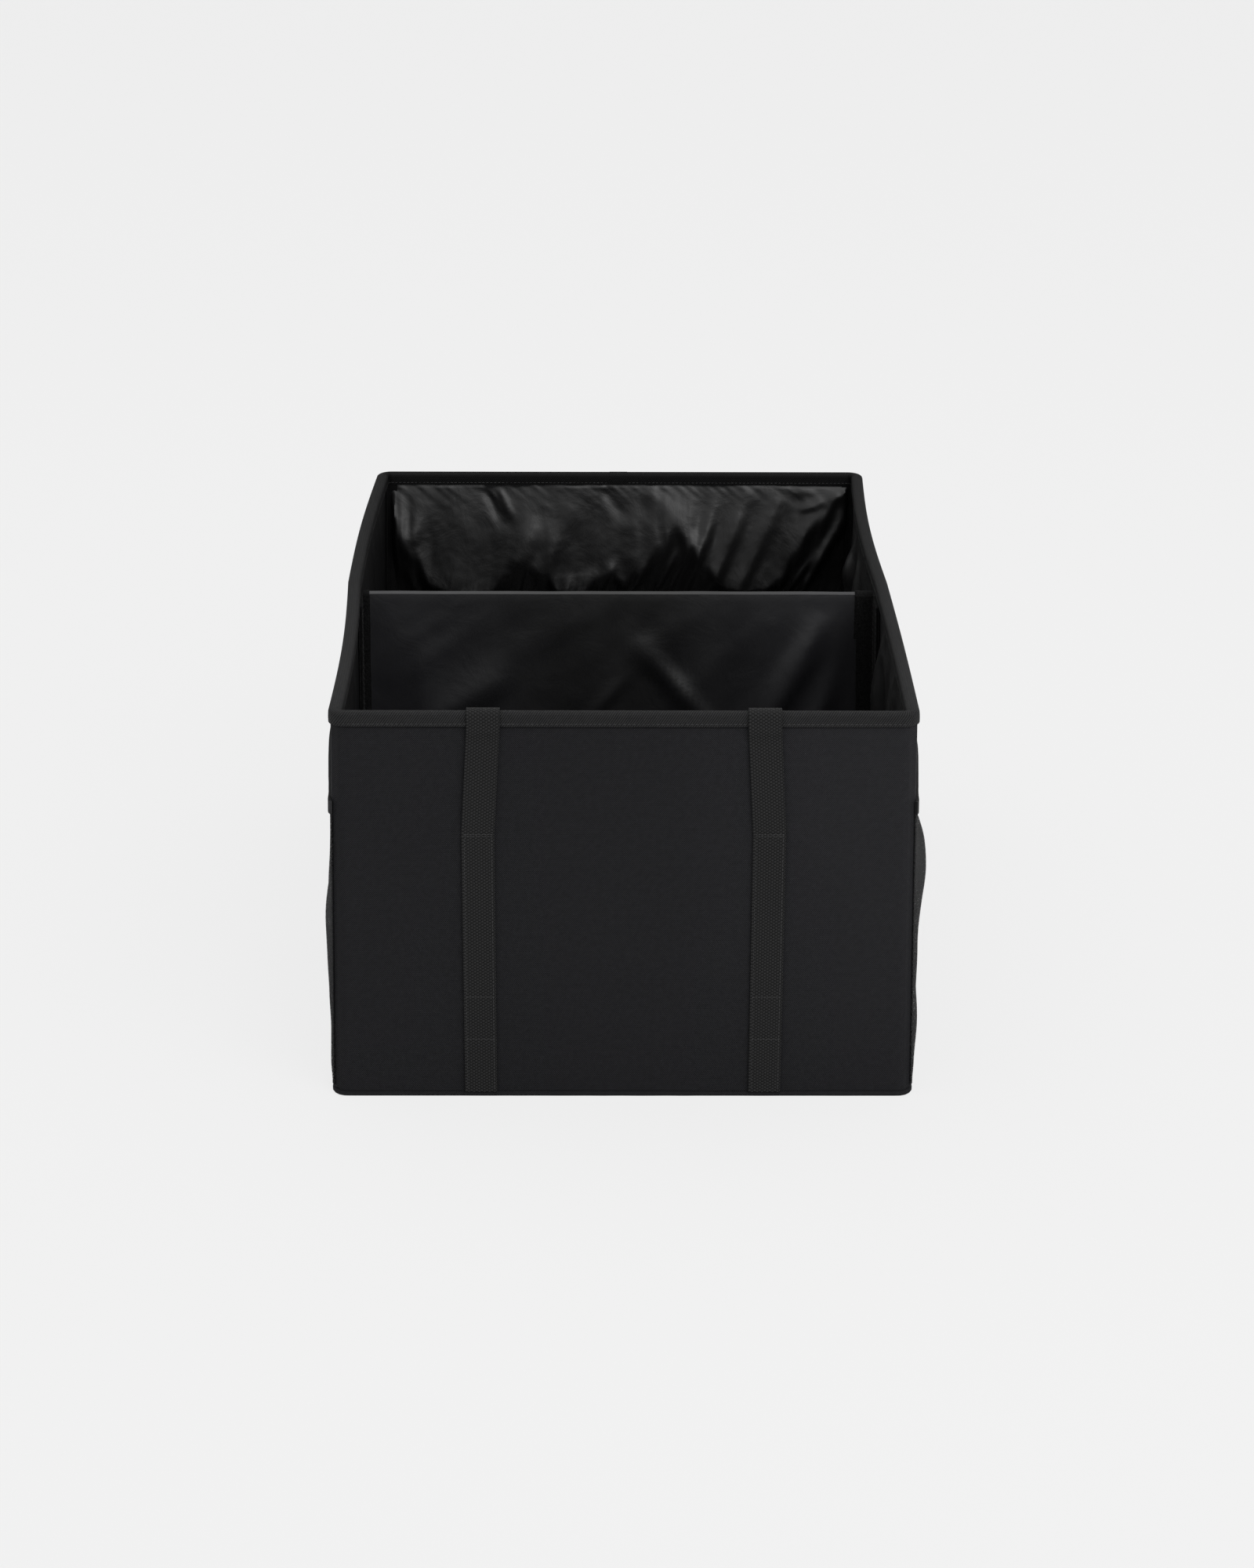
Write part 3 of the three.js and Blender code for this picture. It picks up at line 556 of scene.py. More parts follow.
def crumple(columns, rows, width, height, loose, skew, stiff, frames=36, seed=0.0):
    """Sews a cloth that is a little too large, and skewed, into a flat frame, and lets it buckle.

    Returns, for each crossing of the grid, how far it ends from its flat place: along, off and up.
    """
    bpy.ops.mesh.primitive_grid_add(x_subdivisions=columns, y_subdivisions=rows, size=1)
    cloth = bpy.context.object
    flat = [(v.co.x, v.co.y) for v in cloth.data.vertices]
    foot, top, tall = loose
    cloth.shape_key_add(name="Basis")
    sewn = cloth.shape_key_add(name="sewn_in")
    pins = cloth.vertex_groups.new(name="sewn_edge")
    edge = [i for i, (x, y) in enumerate(flat) if max(abs(x), abs(y)) > 0.4999]
    pins.add(edge, 1.0, "REPLACE")
    keys = cloth.data.shape_keys.key_blocks
    for i, (x, y) in enumerate(flat):
        wide = 1 + foot + (top - foot) * (y + 0.5)
        start = 0.0006 * noise.noise(Vector((x * 9 + seed, y * 5, seed)))
        keys["Basis"].data[i].co = (x * width * wide, start, y * height * (1 + tall))
        keys["sewn_in"].data[i].co = (x * width + skew * y, start, y * height)
    for moment, value in ((1, 0.0), (int(frames * 0.6), 1.0)):
        sewn.value = value
        sewn.keyframe_insert("value", frame=moment)
    dressed = cloth.modifiers.new("buckling", "CLOTH")
    settings = dressed.settings
    settings.quality = 6
    settings.mass = 0.12
    settings.tension_stiffness = settings.compression_stiffness = 20
    settings.shear_stiffness = 8
    settings.bending_stiffness = stiff
    settings.air_damping = 2
    settings.effector_weights.gravity = 0
    settings.vertex_group_mass = "sewn_edge"
    dressed.collision_settings.use_collision = False
    dressed.point_cache.frame_end = frames
    for moment in range(1, frames + 1):
        bpy.context.scene.frame_set(moment)
    settled = cloth.evaluated_get(bpy.context.evaluated_depsgraph_get()).to_mesh()
    moved = {}
    for (x, y), vertex in zip(flat, settled.vertices):
        key = round((x + 0.5) * columns), round((y + 0.5) * rows)
        moved[key] = (vertex.co.x - x * width, vertex.co.y, vertex.co.z - y * height)
    bpy.ops.object.delete()
    bpy.context.scene.frame_set(1)
    return moved


def pressed(off, room):
    """A fold that would go into the board lies flat on it instead, and none stands off more than room."""
    stand = 0.5 * (off + math.sqrt(off * off + 4e-7))
    return room * math.tanh(stand / room)


def look_up(moved, u, v):
    """Where a crumpled cloth has moved to at u, v, between its crossings."""
    columns, rows = max(moved)
    x, y = min(max(u, 0), 1) * columns, min(max(v, 0), 1) * rows
    i, j = min(int(x), columns - 1), min(int(y), rows - 1)
    fx, fy = x - i, y - j
    near = np.array(moved[i, j]) * (1 - fx) + np.array(moved[i + 1, j]) * fx
    far = np.array(moved[i, j + 1]) * (1 - fx) + np.array(moved[i + 1, j + 1]) * fx
    return near * (1 - fy) + far * fy


bay_folds = crumple(56, 60, 0.205, 0.238, (0.012, 0.02, 0.012), 0.004, 0.4, seed=5.1)
divider_folds = crumple(70, 50, 0.320, 0.238, (0.016, 0.006, 0.01), 0.006, 2.0, seed=8.2)

# The loose part of the back lining is cut too large and gathered, so it hangs out in shallow swags.
# Each of its feet is a place along the wall and how high the hollow under the swag reaches there.
# Its folds, as those of the divider, the right lining and the front, were placed after the photo.
LOOSE_WIDE, LOOSE_TALL, LOOSE_OUT = 0.339, UNDER_RIM - LOOSE_FOOT, 0.012
SWAG_FEET = (
    (0, 0.95), (0.02, 0.6), (0.05, 0.34), (0.09, 0.12), (0.13, 0.04), (0.22, 0.04), (0.26, 0.2),
    (0.30, 0.28), (0.34, 0.2), (0.37, 0.04), (0.42, 0.04), (0.45, 0.16), (0.48, 0.22), (0.515, 0.12),
    (0.54, 0.22), (0.58, 0.45), (0.62, 0.64), (0.65, 0.5), (0.69, 0.26), (0.73, 0.08), (0.76, 0.05),
    (0.80, 0.06), (0.845, 0.14), (0.88, 0.4), (0.93, 0.7), (0.97, 0.92), (1, 1),
)
BACK_FOLDS = (
    (0.575, 0, 0.625, 0.40, 0.008, 0.0030), (0.605, 0, 0.655, 0.5, 0.009, 0.0034),
    (0.64, 0, 0.70, 0.75, 0.014, 0.0036), (0.69, 0, 0.775, 0.9, 0.020, 0.0036),
    (0.75, 0, 0.85, 0.95, 0.022, 0.0030), (0.90, 0.05, 0.985, 0.72, 0.013, 0.0046),
    (0.86, 0, 0.92, 0.35, 0.009, 0.0030), (0.27, 0.3, 0.32, 0.66, 0.030, 0.0022),
    (0.34, 0.3, 0.41, 0.98, 0.030, 0.0022), (0.14, 0.1, 0.17, 0.9, 0.050, 0.0016),
    (0.45, 0, 0.485, 0.3, 0.010, 0.0020), (0.415, 0, 0.435, 0.25, 0.010, 0.0012),
    (0.52, 0, 0.56, 0.3, 0.010, 0.0022), (0.53, 0.3, 0.50, 0.95, 0.040, 0.0014),
    (0.21, 0.95, 0.245, 0.65, 0.012, -0.0014), (0.24, 0.95, 0.27, 0.7, 0.010, 0.0010),
    (0.47, 0.95, 0.51, 0.7, 0.018, -0.0014), (0.56, 0.95, 0.62, 0.7, 0.024, 0.0012),
    (0.88, 0.95, 0.97, 0.98, 0.02, 0.0014), (0.90, 0.8, 0.99, 0.95, 0.014, 0.0012),
    (0.04, 0.5, 0.10, 0.95, 0.025, 0.0012), (0.38, 0, 0.39, 0.2, 0.012, 0.0008),
    (0.29, 0, 0.30, 0.25, 0.012, 0.0012), (0.06, 0, 0.03, 0.3, 0.012, 0.0014),
)


def on_loose_back(u, v):
    wander = u + 0.010 * noise.noise(Vector((u * 9, v * 3, 2.2)))
    after = next((k for k, pair in enumerate(SWAG_FEET) if k and pair[0] >= wander), len(SWAG_FEET) - 1)
    (u0, b0), (u1, b1) = SWAG_FEET[after - 1], SWAG_FEET[after]
    part = min(max((wander - u0) / (u1 - u0), 0), 1)
    foot = b0 + (b1 - b0) * part * part * (3 - 2 * part)
    hollow = max(0.04, foot + 0.04 * noise.noise(Vector((u * 26, 0, 9))))
    under, over = v / hollow, (1 - v) / max(0.03, 1 - hollow)
    body = -math.log(math.exp(-7 * under) + math.exp(-7 * over)) / 7
    off = LOOSE_OUT * max(0, body) * min(1, 0.25 + 1.6 * (1 - hollow)) + folds_at(u, v, BACK_FOLDS, 4)
    off += 0.0022 * abs(noise.noise(Vector((u * 75 - v * 4, v * 1.5, 1.1)))) * math.exp(-v / 0.10)
    off += 0.0008 * noise.noise(Vector((u * 60 + v * 18, v * 4, 5.5))) * math.exp(-(1 - v) / 0.08)
    off += 0.0005 * noise.noise(Vector((u * 18, v * 4.5, 3.3)))
    off += 0.00012 * noise.noise(Vector((u * 60, v * 15, 4.3)))
    edge = min(1, v / 0.02, (1 - v) / 0.02, u / 0.012, (1 - u) / 0.012)
    z = LOOSE_FOOT + LOOSE_TALL * v
    depth = WALL - LINING / 2 + 0.0002 + max(0, off) * max(0, edge)
    return wall_point(BACK, -(u - 0.5) * LOOSE_WIDE, z, depth)


LOOSE_CUT = LOOSE_WIDE * 1.04
loose_back = weave_sheet("back_loose_lining", 330, 90, LOOSE_CUT, LOOSE_TALL, on_loose_back)
thicken(loose_back, 0.0004)
finish_piece(loose_back, lining_finish, "lining", "back_lining")

# The left wall's lining is a darker, rougher copy of the coated lining: its darker colour is painted shade.
matt_lining_finish = coated_material(
    "black_matt_lining", (0.002, 0.002, 0.0022, 1), (0.006, 0.006, 0.0063, 1), 0.6, 0.14, 0.0006
)
LINING_TURN = (CORNER_R - LINING_IN) * math.pi / 4 * CORNER_R / (CORNER_R - LINING_IN) - 0.0003
FOLD_FLAT = 0.0279


def line_wall(wall, name, low, high, columns, rows, relief, finish=lining_finish):
    """A lining between two heights of a wall, from corner seam to corner seam."""
    span = straight_half(wall, HEIGHT / 2) + LINING_TURN

    def on_lining(u, v):
        z = low + (high - low) * v
        s = (2 * u - 1) * (straight_half(wall, z) + LINING_TURN)
        return wall_point(wall, s, z, WALL - LINING / 2 + relief(s, z))

    sheet = weave_sheet(name, columns, rows, 2 * span, high - low, on_lining)
    thicken(sheet, LINING / 2)
    finish_piece(sheet, finish, "lining", f"{wall['name']}_lining")


RIGHT_BULGES = (
    (0.82, 0.70, 0.83, 0.90, 0.012, 0.009), (0.70, 0.55, 0.72, 0.88, 0.012, 0.008),
    (0.60, 0.6, 0.61, 0.86, 0.012, 0.006), (0.35, 0.6, 0.39, 0.90, 0.018, 0.009),
    (0.20, 0.5, 0.25, 0.88, 0.020, 0.008),
)


def bay_relief(amount, bulges=()):
    """The looseness of a side lining: one crumpled cloth in each bay, none at the fold and the corners."""

    def relief(s, z):
        half = LENGTH / 2 - CORNER_R
        u = (abs(s) - FOLD_FLAT) / (half - 0.009 - FOLD_FLAT)
        v = (z - 0.008) / (UNDER_RIM - 0.008)
        if not (0 < u < 1 and 0 < v < 1):
            return 0.0
        off = look_up(bay_folds, u if s > 0 else 1 - u, v)[1]
        fade = min(1, 12 * u, 12 * (1 - u), 12 * v, 12 * (1 - v))
        return fade * (amount * pressed(off, 0.006) + folds_at(s / LENGTH + 0.5, v, bulges, 2.1))

    return relief


line_wall(BACK, "back_lower_lining", FLOOR_TOP, LOOSE_FOOT + 0.003, 80, 50, lambda s, z: 0.0)
line_wall(FRONT, "front_lining_sheet", FLOOR_TOP, LINING_TOP, 80, 60, lambda s, z: 0.0)
line_wall(LEFT, "left_lining_sheet", FLOOR_TOP, LINING_TOP, 160, 80, bay_relief(0.4), matt_lining_finish)
line_wall(RIGHT, "right_lining_sheet", FLOOR_TOP, LINING_TOP, 200, 110, bay_relief(1.2, RIGHT_BULGES))
floor_sheet("floor_lining_sheet", TWILL + GAP, LINING, 0.0, lining_finish, "lining", "bottom_lining")

# Two loose boards in sleeves of the same lining lie on the floor, one in each compartment.
# Each sleeve is pulled over its board like a pillowcase, with soft edges and round corners. Its hidden
# underside is left open here.
BASE_COVER_TOP = 0.0067
COVER_CORNER, COVER_EDGE, COVER_SEAM = 0.006, 0.0014, 0.004
for half in ("front", "rear"):
    low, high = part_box(f"{half}_base_cover")
    bpy.ops.mesh.primitive_cube_add(size=1, location=(low + high) / 2)
    cover = bpy.context.object
    cover.name = cover.data.name = f"{half}_floor_sleeve"
    cover.scale = (high[0] - low[0], high[1] - low[1], high[2] - low[2])
    bpy.ops.object.transform_apply(location=True, rotation=True, scale=True)
    bpy.ops.object.mode_set(mode="EDIT")
    bpy.ops.mesh.select_all(action="DESELECT")
    pick(cover, "FACE", lambda face: face.normal.z < -0.5)
    bpy.ops.mesh.delete(type="FACE")
    bpy.ops.mesh.select_all(action="DESELECT")
    pick(cover, "EDGE", lambda edge: max(heights(cover, edge)) - min(heights(cover, edge)) > 0.001)
    bpy.ops.mesh.bevel(offset=COVER_CORNER, segments=5, affect="EDGES")
    pick(cover, "EDGE", lambda edge: min(heights(cover, edge)) > high[2] - 0.0005)
    bpy.ops.mesh.bevel(offset=COVER_EDGE, segments=3, affect="EDGES")
    bpy.ops.mesh.select_all(action="DESELECT")
    pick(cover, "FACE", lambda face: face.normal.z > 0.99 and face.area > 0.01)
    bpy.ops.mesh.inset(thickness=COVER_SEAM)
    bpy.ops.object.mode_set(mode="OBJECT")
    thin = cover.modifiers.new("cloth_thickness", "SOLIDIFY")
    thin.thickness = LINING
    thin.offset = -1
    bpy.ops.object.modifier_apply(modifier=thin.name)
    bpy.ops.object.shade_smooth_by_angle(angle=math.radians(40))
    finish_piece(cover, lining_finish, "lining", f"{half}_base_cover")

# Narrow twill tapes cover the seams of the lining in the four inner corners.
# Each is folded in half into its corner and sewn down from the floor to the rim.
TAPE = 0.001
steep_twill = twill_at(0.0015, 0.6)
tape_finish = cloth_material(
    "black_twill_tape", (0.0005, 0.0005, 0.0005, 1), (0.026, 0.026, 0.0267, 1), 0.7, 0.13, steep_twill, 0.0004
)
# A painted tone, fitted to the photo's one view and not seen to be in the tape: it gets darker to the back.
# The darkening towards the back is painted shade.
tree = tape_finish.node_tree
paint_tone(tree, ramp(tree, place_in(tree)["Y"], -0.2, 0.25, 1.0, 0.2))
fine_twill = twill_at(0.0009)
corner_finish = cloth_material(
    "black_corner_tape", (0.001, 0.001, 0.001, 1), (0.006, 0.006, 0.0062, 1), 0.8, 0.1, fine_twill, 0.0002
)
SEAM_LEG = 0.0045
CORNER_TAPE_WIDE, CORNER_TAPE_LONG = 2 * SEAM_LEG + 0.006, 0.241
for i, wall in enumerate(WALLS):
    after = WALLS[(i + 1) % 4]
    name = f"{wall['name']}_{after['name']}"

    def on_corner(u, v):
        z = BASE_COVER_TOP + GAP + (UNDER_RIM - BASE_COVER_TOP - GAP) * v
        depth = WALL + GAP + TAPE / 2 + 0.0002 * noise.noise(Vector((u * 3, z * 60, i * 5.5)))
        arc = CORNER_R * math.pi / 4
        run = (2 * u - 1) * (SEAM_LEG + arc)
        if run <= 0:
            return wall_point(wall, straight_half(wall, z) + arc + run, z, depth)
        return wall_point(after, -straight_half(after, z) - arc + run, z, depth)

    tape = weave_sheet(f"{name}_corner_tape", 16, 90, CORNER_TAPE_WIDE, CORNER_TAPE_LONG, on_corner)
    thicken(tape, TAPE)
    finish_piece(tape, corner_finish, "binding", f"{name}_seam_tape")
    board_names(wall)[:1]

# One twill tape binds the rim: it is folded over the raw edges of shell, boards and lining.
# A row of stitches near its lower edge goes through all of them, and its ends overlap at the back.
RIM_MIDDLE = WALL / 2
RIM_HALF = WALL / 2 + GAP + TAPE / 2
RIM_LEG_SHARE = 0.32
SHOULDER = 0.2548
RIM_FOOT = 0.2485
CROWN = 0.0022 - TAPE / 2


def on_rim(swell):
    """The fold of the rim tape, standing off by swell."""

    def at(u, v):
        wall, s = round_the_box(u, HEIGHT)
        ripple = noise.noise(Vector((u * 260, 2.2, 0)))
        foot = RIM_FOOT + 0.00025 * ripple
        if RIM_LEG_SHARE < v < 1 - RIM_LEG_SHARE:
            angle = math.pi * (1 - RIM_LEG_SHARE - v) / (1 - 2 * RIM_LEG_SHARE)
            z = SHOULDER + (CROWN + swell) * math.sin(angle)
            depth = RIM_MIDDLE + (RIM_HALF + swell) * math.cos(angle)
            return wall_point(wall, s, z, depth)
        outer = v <= RIM_LEG_SHARE
        part = (v if outer else 1 - v) / RIM_LEG_SHARE
        z = foot + (SHOULDER - foot) * part
        flare = swell + 0.00015 * ripple * (1 - part) + 0.00012 * math.sin(math.pi * part)
        return wall_point(wall, s, z, RIM_MIDDLE + (-RIM_HALF - flare if outer else RIM_HALF + flare))

    return at


SECTION = 0.0225
rim = weave_sheet("rim_binding_tape", 760, 22, PERIMETER, SECTION, on_rim(0.0))
thicken(rim, TAPE, merge=True)
finish_piece(rim, tape_finish, "binding", "rim_binding")

LAP = 0.013
lap_at = on_rim(0.0003)
turn = LAP / PERIMETER
rim_lap = weave_sheet("rim_binding_lap", 14, 22, LAP, SECTION, lambda u, v: lap_at((u - 0.42) * turn, v))
thicken(rim_lap, 0.0007)
finish_piece(rim_lap, tape_finish, "binding")

# The seams are sewn with thick bonded thread in a plain lock stitch, a little lighter than the cloth.
# Each stitch is a short raised bead that dips into the cloth at both ends.
thread_finish, tree, shader, where = start_material("black_thread")
twist = grain(tree, where, 2500.0, 2.0)
tint = put_node(
    tree, "Mix", {0: twist, 6: (0.009, 0.009, 0.0095, 1), 7: (0.030, 0.030, 0.031, 1)}, data_type="RGBA"
)
tree.links.new(tint.outputs[2], shader.inputs["Base Color"])
shader.inputs["Roughness"].default_value = 0.5


def sew(name, rows, length=0.0024, wide=0.0005, high=0.0004):
    """Rows of stitches. Each row is a list of points and outward directions, evenly along its seam."""
    bpy.ops.mesh.primitive_uv_sphere_add(segments=6, ring_count=4, radius=0.5)
    bead = bpy.context.object
    shape = np.array([v.co for v in bead.data.vertices])
    faces = [tuple(f.vertices) for f in bead.data.polygons]
    bpy.ops.object.delete()
    corners, sides = [], []
    for row in rows:
        for (start, out), (end, _) in zip(row, row[1:]):
            ahead = (end - start).normalized()
            out = (out - ahead * out.dot(ahead)).normalized()
            beside = ahead.cross(out)
            middle = (start + end) / 2
            stretch = length * min(1.0, (end - start).length / length)
            axes = np.array([beside * wide, out * high, ahead * stretch])
            sides += [tuple(i + len(corners) for i in face) for face in faces]
            corners += (shape @ axes + np.array(middle)).tolist()
    mesh = bpy.data.meshes.new(name)
    mesh.from_pydata(corners, [], sides)
    thread = bpy.data.objects.new(name, mesh)
    bpy.context.collection.objects.link(thread)
    bpy.context.view_layer.objects.active = thread
    thread.select_set(True)
    mend_mesh()
    bpy.ops.object.shade_smooth()
    return thread


def wall_out(wall):
    """The direction that a wall faces."""
    return Vector((*wall["out"], 0))


STITCH = 0.0029
rim_rows = []
for side in (1, -1):
    depth = RIM_MIDDLE - side * (RIM_HALF + TAPE / 2)
    row = []
    for k in range(int(PERIMETER / STITCH) + 1):
        wall, s = round_the_box(k * STITCH / PERIMETER, HEIGHT)
        half = straight_half(wall, HEIGHT)
        turn = (s - max(-half, min(half, s))) / CORNER_R
        (ax, ay), (ox, oy) = wall["along"], wall["out"]
        near, aside = math.cos(turn), math.sin(turn)
        out = Vector((ox * near + ax * aside, oy * near + ay * aside, 0))
        row.append((wall_point(wall, s, RIM_FOOT + 0.0016, depth), out * side))
    rim_rows.append(row)
rim_thread = sew("rim_stitches", rim_rows)
finish_piece(rim_thread, thread_finish, "binding")

# The divider is a board in a sleeve of lining, folded over its top edge. It stands loose across the box.
# Hook tabs on its ends are pressed onto loop strips that are sewn to the long walls.
DIVIDER_HALF = BOARD / 2 + GAP + LINING
low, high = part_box("divider_sleeve")
DIVIDER_LEFT, DIVIDER_RIGHT = low[0], high[0]
SLEEVE_TOP = high[2] - DIVIDER_HALF
SLEEVE_FOOT = low[2]
FACE_TALL = SLEEVE_TOP - SLEEVE_FOOT
SLEEVE_WRAP = 2 * FACE_TALL + math.pi * DIVIDER_HALF
DIVIDER_FOLDS = (
    (0.77, 0.55, 0.90, 0.93, 0.026, 0.0070), (0.87, 0.55, 0.97, 0.90, 0.024, 0.0070),
    (0.70, 0.60, 0.54, 0.86, 0.022, 0.0036), (0.41, 0.58, 0.51, 0.76, 0.014, 0.0030),
    (0.13, 0.64, 0.28, 0.76, 0.030, 0.0034), (0.10, 0.4, 0.12, 0.85, 0.090, 0.0050),
)


def on_sleeve(u, v):
    x = DIVIDER_LEFT + (DIVIDER_RIGHT - DIVIDER_LEFT) * u
    run = v * SLEEVE_WRAP
    r = DIVIDER_HALF - LINING / 2
    if run < FACE_TALL or run > SLEEVE_WRAP - FACE_TALL:
        front = run < FACE_TALL
        tall = run if front else SLEEVE_WRAP - run
        part = tall / FACE_TALL
        end = min(x - DIVIDER_LEFT - 0.008, DIVIDER_RIGHT - x - 0.014)
        fade = max(0, min(1, end / 0.03)) * min(1, 14 * (1 - part)) * min(1, 6 * part)
        off = 0.5 * look_up(divider_folds, u if front else 1 - u, part)[1]
        off += folds_at(u, part, DIVIDER_FOLDS, 1.4)
        stand = r + fade * pressed(off, 0.0085)
        return Vector((x, -stand if front else stand, SLEEVE_FOOT + tall))
    angle = math.pi - (run - FACE_TALL) / DIVIDER_HALF
    sag = 0.0003 * noise.noise(Vector((x * 30, 7, 7)))
    return Vector((x, r * math.cos(angle), SLEEVE_TOP + (r + sag) * math.sin(angle)))


sleeve = weave_sheet("divider_sleeve_cloth", 90, 170, DIVIDER_RIGHT - DIVIDER_LEFT, SLEEVE_WRAP, on_sleeve)
thicken(sleeve, LINING / 2)
# The divider's lining is a lighter, bluer copy of the coated lining: the extra lightness is painted light.
divider_finish = coated_material(
    "black_divider_lining", (0.0045, 0.0045, 0.0055, 1), (0.0085, 0.0085, 0.0098, 1), 0.45, 0.65, 0.0006
)
# A painted tone that stands in for a reflection: in the photo the middle of the divider mirrors the dark
# inside and its ends mirror the white room. It was fitted to that one view.
tree = divider_finish.node_tree
aside = calc(tree, "ABSOLUTE", calc(tree, "ADD", place_in(tree)["X"], 0.01))
painted_reflection_tone = ramp(tree, aside, 0.03, 0.14, 0.35, 1.9)
shader = tree.nodes["Principled BSDF"]
blend = shader.inputs["Base Color"].links[0].from_socket
painted = put_node(tree, "Mix", {0: 1.0, 6: blend, 7: painted_reflection_tone}, data_type="RGBA", blend_type="MULTIPLY")
tree.links.new(painted.outputs[2], shader.inputs["Base Color"])
finish_piece(sleeve, divider_finish, "lining", "divider_sleeve")

pile_finish, tree, shader, where = start_material("hook_and_loop_pile")
cells = put_node(tree, "TexVoronoi", {"Vector": where, "Scale": 1100.0, "Randomness": 0.7})
tufts = cells.outputs["Distance"]
fuzz = grain(tree, where, 700.0, 4.0)
pile = calc(tree, "MULTIPLY", calc(tree, "SUBTRACT", 1.0, tufts), fuzz)
pile_tones = {0: pile, 6: (0.001, 0.001, 0.001, 1), 7: (0.026, 0.026, 0.0265, 1)}
tint = put_node(tree, "Mix", pile_tones, data_type="RGBA")
tree.links.new(tint.outputs[2], shader.inputs["Base Color"])
bump = put_node(tree, "Bump", {"Height": pile, "Distance": 0.0006, "Strength": 0.8})
tree.links.new(bump.outputs["Normal"], shader.inputs["Normal"])
shader.inputs["Roughness"].default_value = 0.95
shader.inputs["Specular IOR Level"].default_value = 0.1

TAB_TOP, TAB_FOOT = high[2] - 0.002, BASE_COVER_TOP + 0.002
STRIP_NEAR = -(DIVIDER_HALF + GAP)
STRIP_WIDE = 0.025
STRIP_FAR = STRIP_NEAR - STRIP_WIDE
LOOP_TAPE = 0.0012
TAB_TALL = TAB_TOP - TAB_FOOT
CAP_LONG = 0.06 + math.pi * DIVIDER_HALF
tab_rows = []
for wall, lap, wide, end in ((LEFT, 0.005, 0.004, DIVIDER_LEFT), (RIGHT, 0.0115, 0.0115, DIVIDER_RIGHT)):
    sense = wall["along"][1]

    def on_strip(u, v):
        z = TAB_FOOT + TAB_TALL * v
        y = STRIP_FAR + (STRIP_NEAR - STRIP_FAR) * u
        return wall_point(wall, y * sense, z, WALL + GAP + LOOP_TAPE / 2)

    strip = weave_sheet(f"{wall['name']}_loop_tape", 12, 80, STRIP_WIDE, TAB_TALL, on_strip)
    thicken(strip, LOOP_TAPE)
    finish_piece(strip, pile_finish, "hook_and_loop", f"{wall['name']}_loop_strip")

    rest = WALL + 2 * GAP + LOOP_TAPE + TAPE / 2

    def on_tab(u, v):
        z = TAB_FOOT + TAB_TALL * v
        run = u * (lap + STRIP_WIDE)
        edge = 0.0002 * noise.noise(Vector((z * 50, lap * 99, 3)))
        if run < lap:
            return wall_point(wall, (STRIP_NEAR - TAPE / 2) * sense, z, rest + lap - run + edge)
        return wall_point(wall, (STRIP_NEAR - TAPE / 2 - (run - lap) * 0.98) * sense, z, rest)

    tab = weave_sheet(f"{wall['name']}_hook_tape", 24, 90, lap + STRIP_WIDE, TAB_TALL, on_tab)
    thicken(tab, TAPE)
    finish_piece(tab, pile_finish, "hook_and_loop", f"{wall['name']}_hook_tab")

    def on_cap(u, v):
        run = FACE_TALL - 0.03 + v * CAP_LONG
        x = end - sense * wide * (1 - u)
        place = on_sleeve((x - DIVIDER_LEFT) / (DIVIDER_RIGHT - DIVIDER_LEFT), run / SLEEVE_WRAP)
        from_core = Vector((0, place.y, max(0, place.z - SLEEVE_TOP)))
        return place + from_core.normalized() * 0.0007

    cap = weave_sheet(f"{wall['name']}_tab_cap", 6, 40, wide, CAP_LONG, on_cap)
    thicken(cap, 0.0006)
    finish_piece(cap, pile_finish, "hook_and_loop")
    for y in (STRIP_NEAR - 0.0035, STRIP_FAR + 0.0015):
        row, k = [], 0
        while TAB_FOOT + 0.003 + k * 0.0022 < TAB_TOP - 0.002:
            zig = 0.0011 if k % 2 else -0.0011
            z = TAB_FOOT + 0.003 + k * 0.0022
            row.append((wall_point(wall, (y + zig) * sense, z, rest + TAPE / 2), -wall_out(wall)))
            k += 1
        tab_rows.append(row)
tab_thread = sew("tab_stitches", tab_rows, length=0.003, wide=0.0004, high=0.0003)
finish_piece(tab_thread, thread_finish, "hook_and_loop")

# The handles are 20 mm black webbing with a strong cross rib. Each runs up an end wall in two legs.
# The legs are sewn down along both edges and barred at the top. The front loop is flipped inside the box.
WEB_WIDE, WEB_THICK = 0.020, 0.0014
STRAP_X = 0.0885
STRAP_RIM_X = 0.0846
SEWN_TOP = HEIGHT - 0.078
ribbed, inlet, outlet = start_group(
    "ribbed_webbing",
    [
        ("Vector", "NodeSocketVector", None),
        ("Rib", "NodeSocketFloat", 0.00205),
        ("Column", "NodeSocketFloat", 0.0016),
    ],
    ["Height", "Shade"],
)
tree = ribbed
parts = put_node(tree, "SeparateXYZ", {0: inlet.outputs["Vector"]}).outputs
column = calc(tree, "DIVIDE", parts[0], inlet.outputs["Column"])
ribs = calc(tree, "DIVIDE", parts[1], inlet.outputs["Rib"])
shift = calc(tree, "MULTIPLY", calc(tree, "FLOORED_MODULO", calc(tree, "FLOOR", column), 2.0), 0.5)
rib = calc(tree, "PINGPONG", calc(tree, "ADD", ribs, shift), 0.5)
yarn = calc(tree, "PINGPONG", column, 0.5)
crown = calc(tree, "ADD", calc(tree, "MULTIPLY", yarn, 1.2), 0.4)
knot = calc(tree, "MULTIPLY", calc(tree, "MULTIPLY", rib, 2.0), crown)
tree.links.new(knot, outlet.inputs["Height"])
fibre = grain(tree, inlet.outputs["Vector"], 1400.0, 3.0)
fibre_tone = calc(tree, "MULTIPLY", fibre, 0.05)
tone = calc(tree, "ADD", calc(tree, "MULTIPLY", knot, 1.05), fibre_tone)
tree.links.new(tone, outlet.inputs["Shade"])


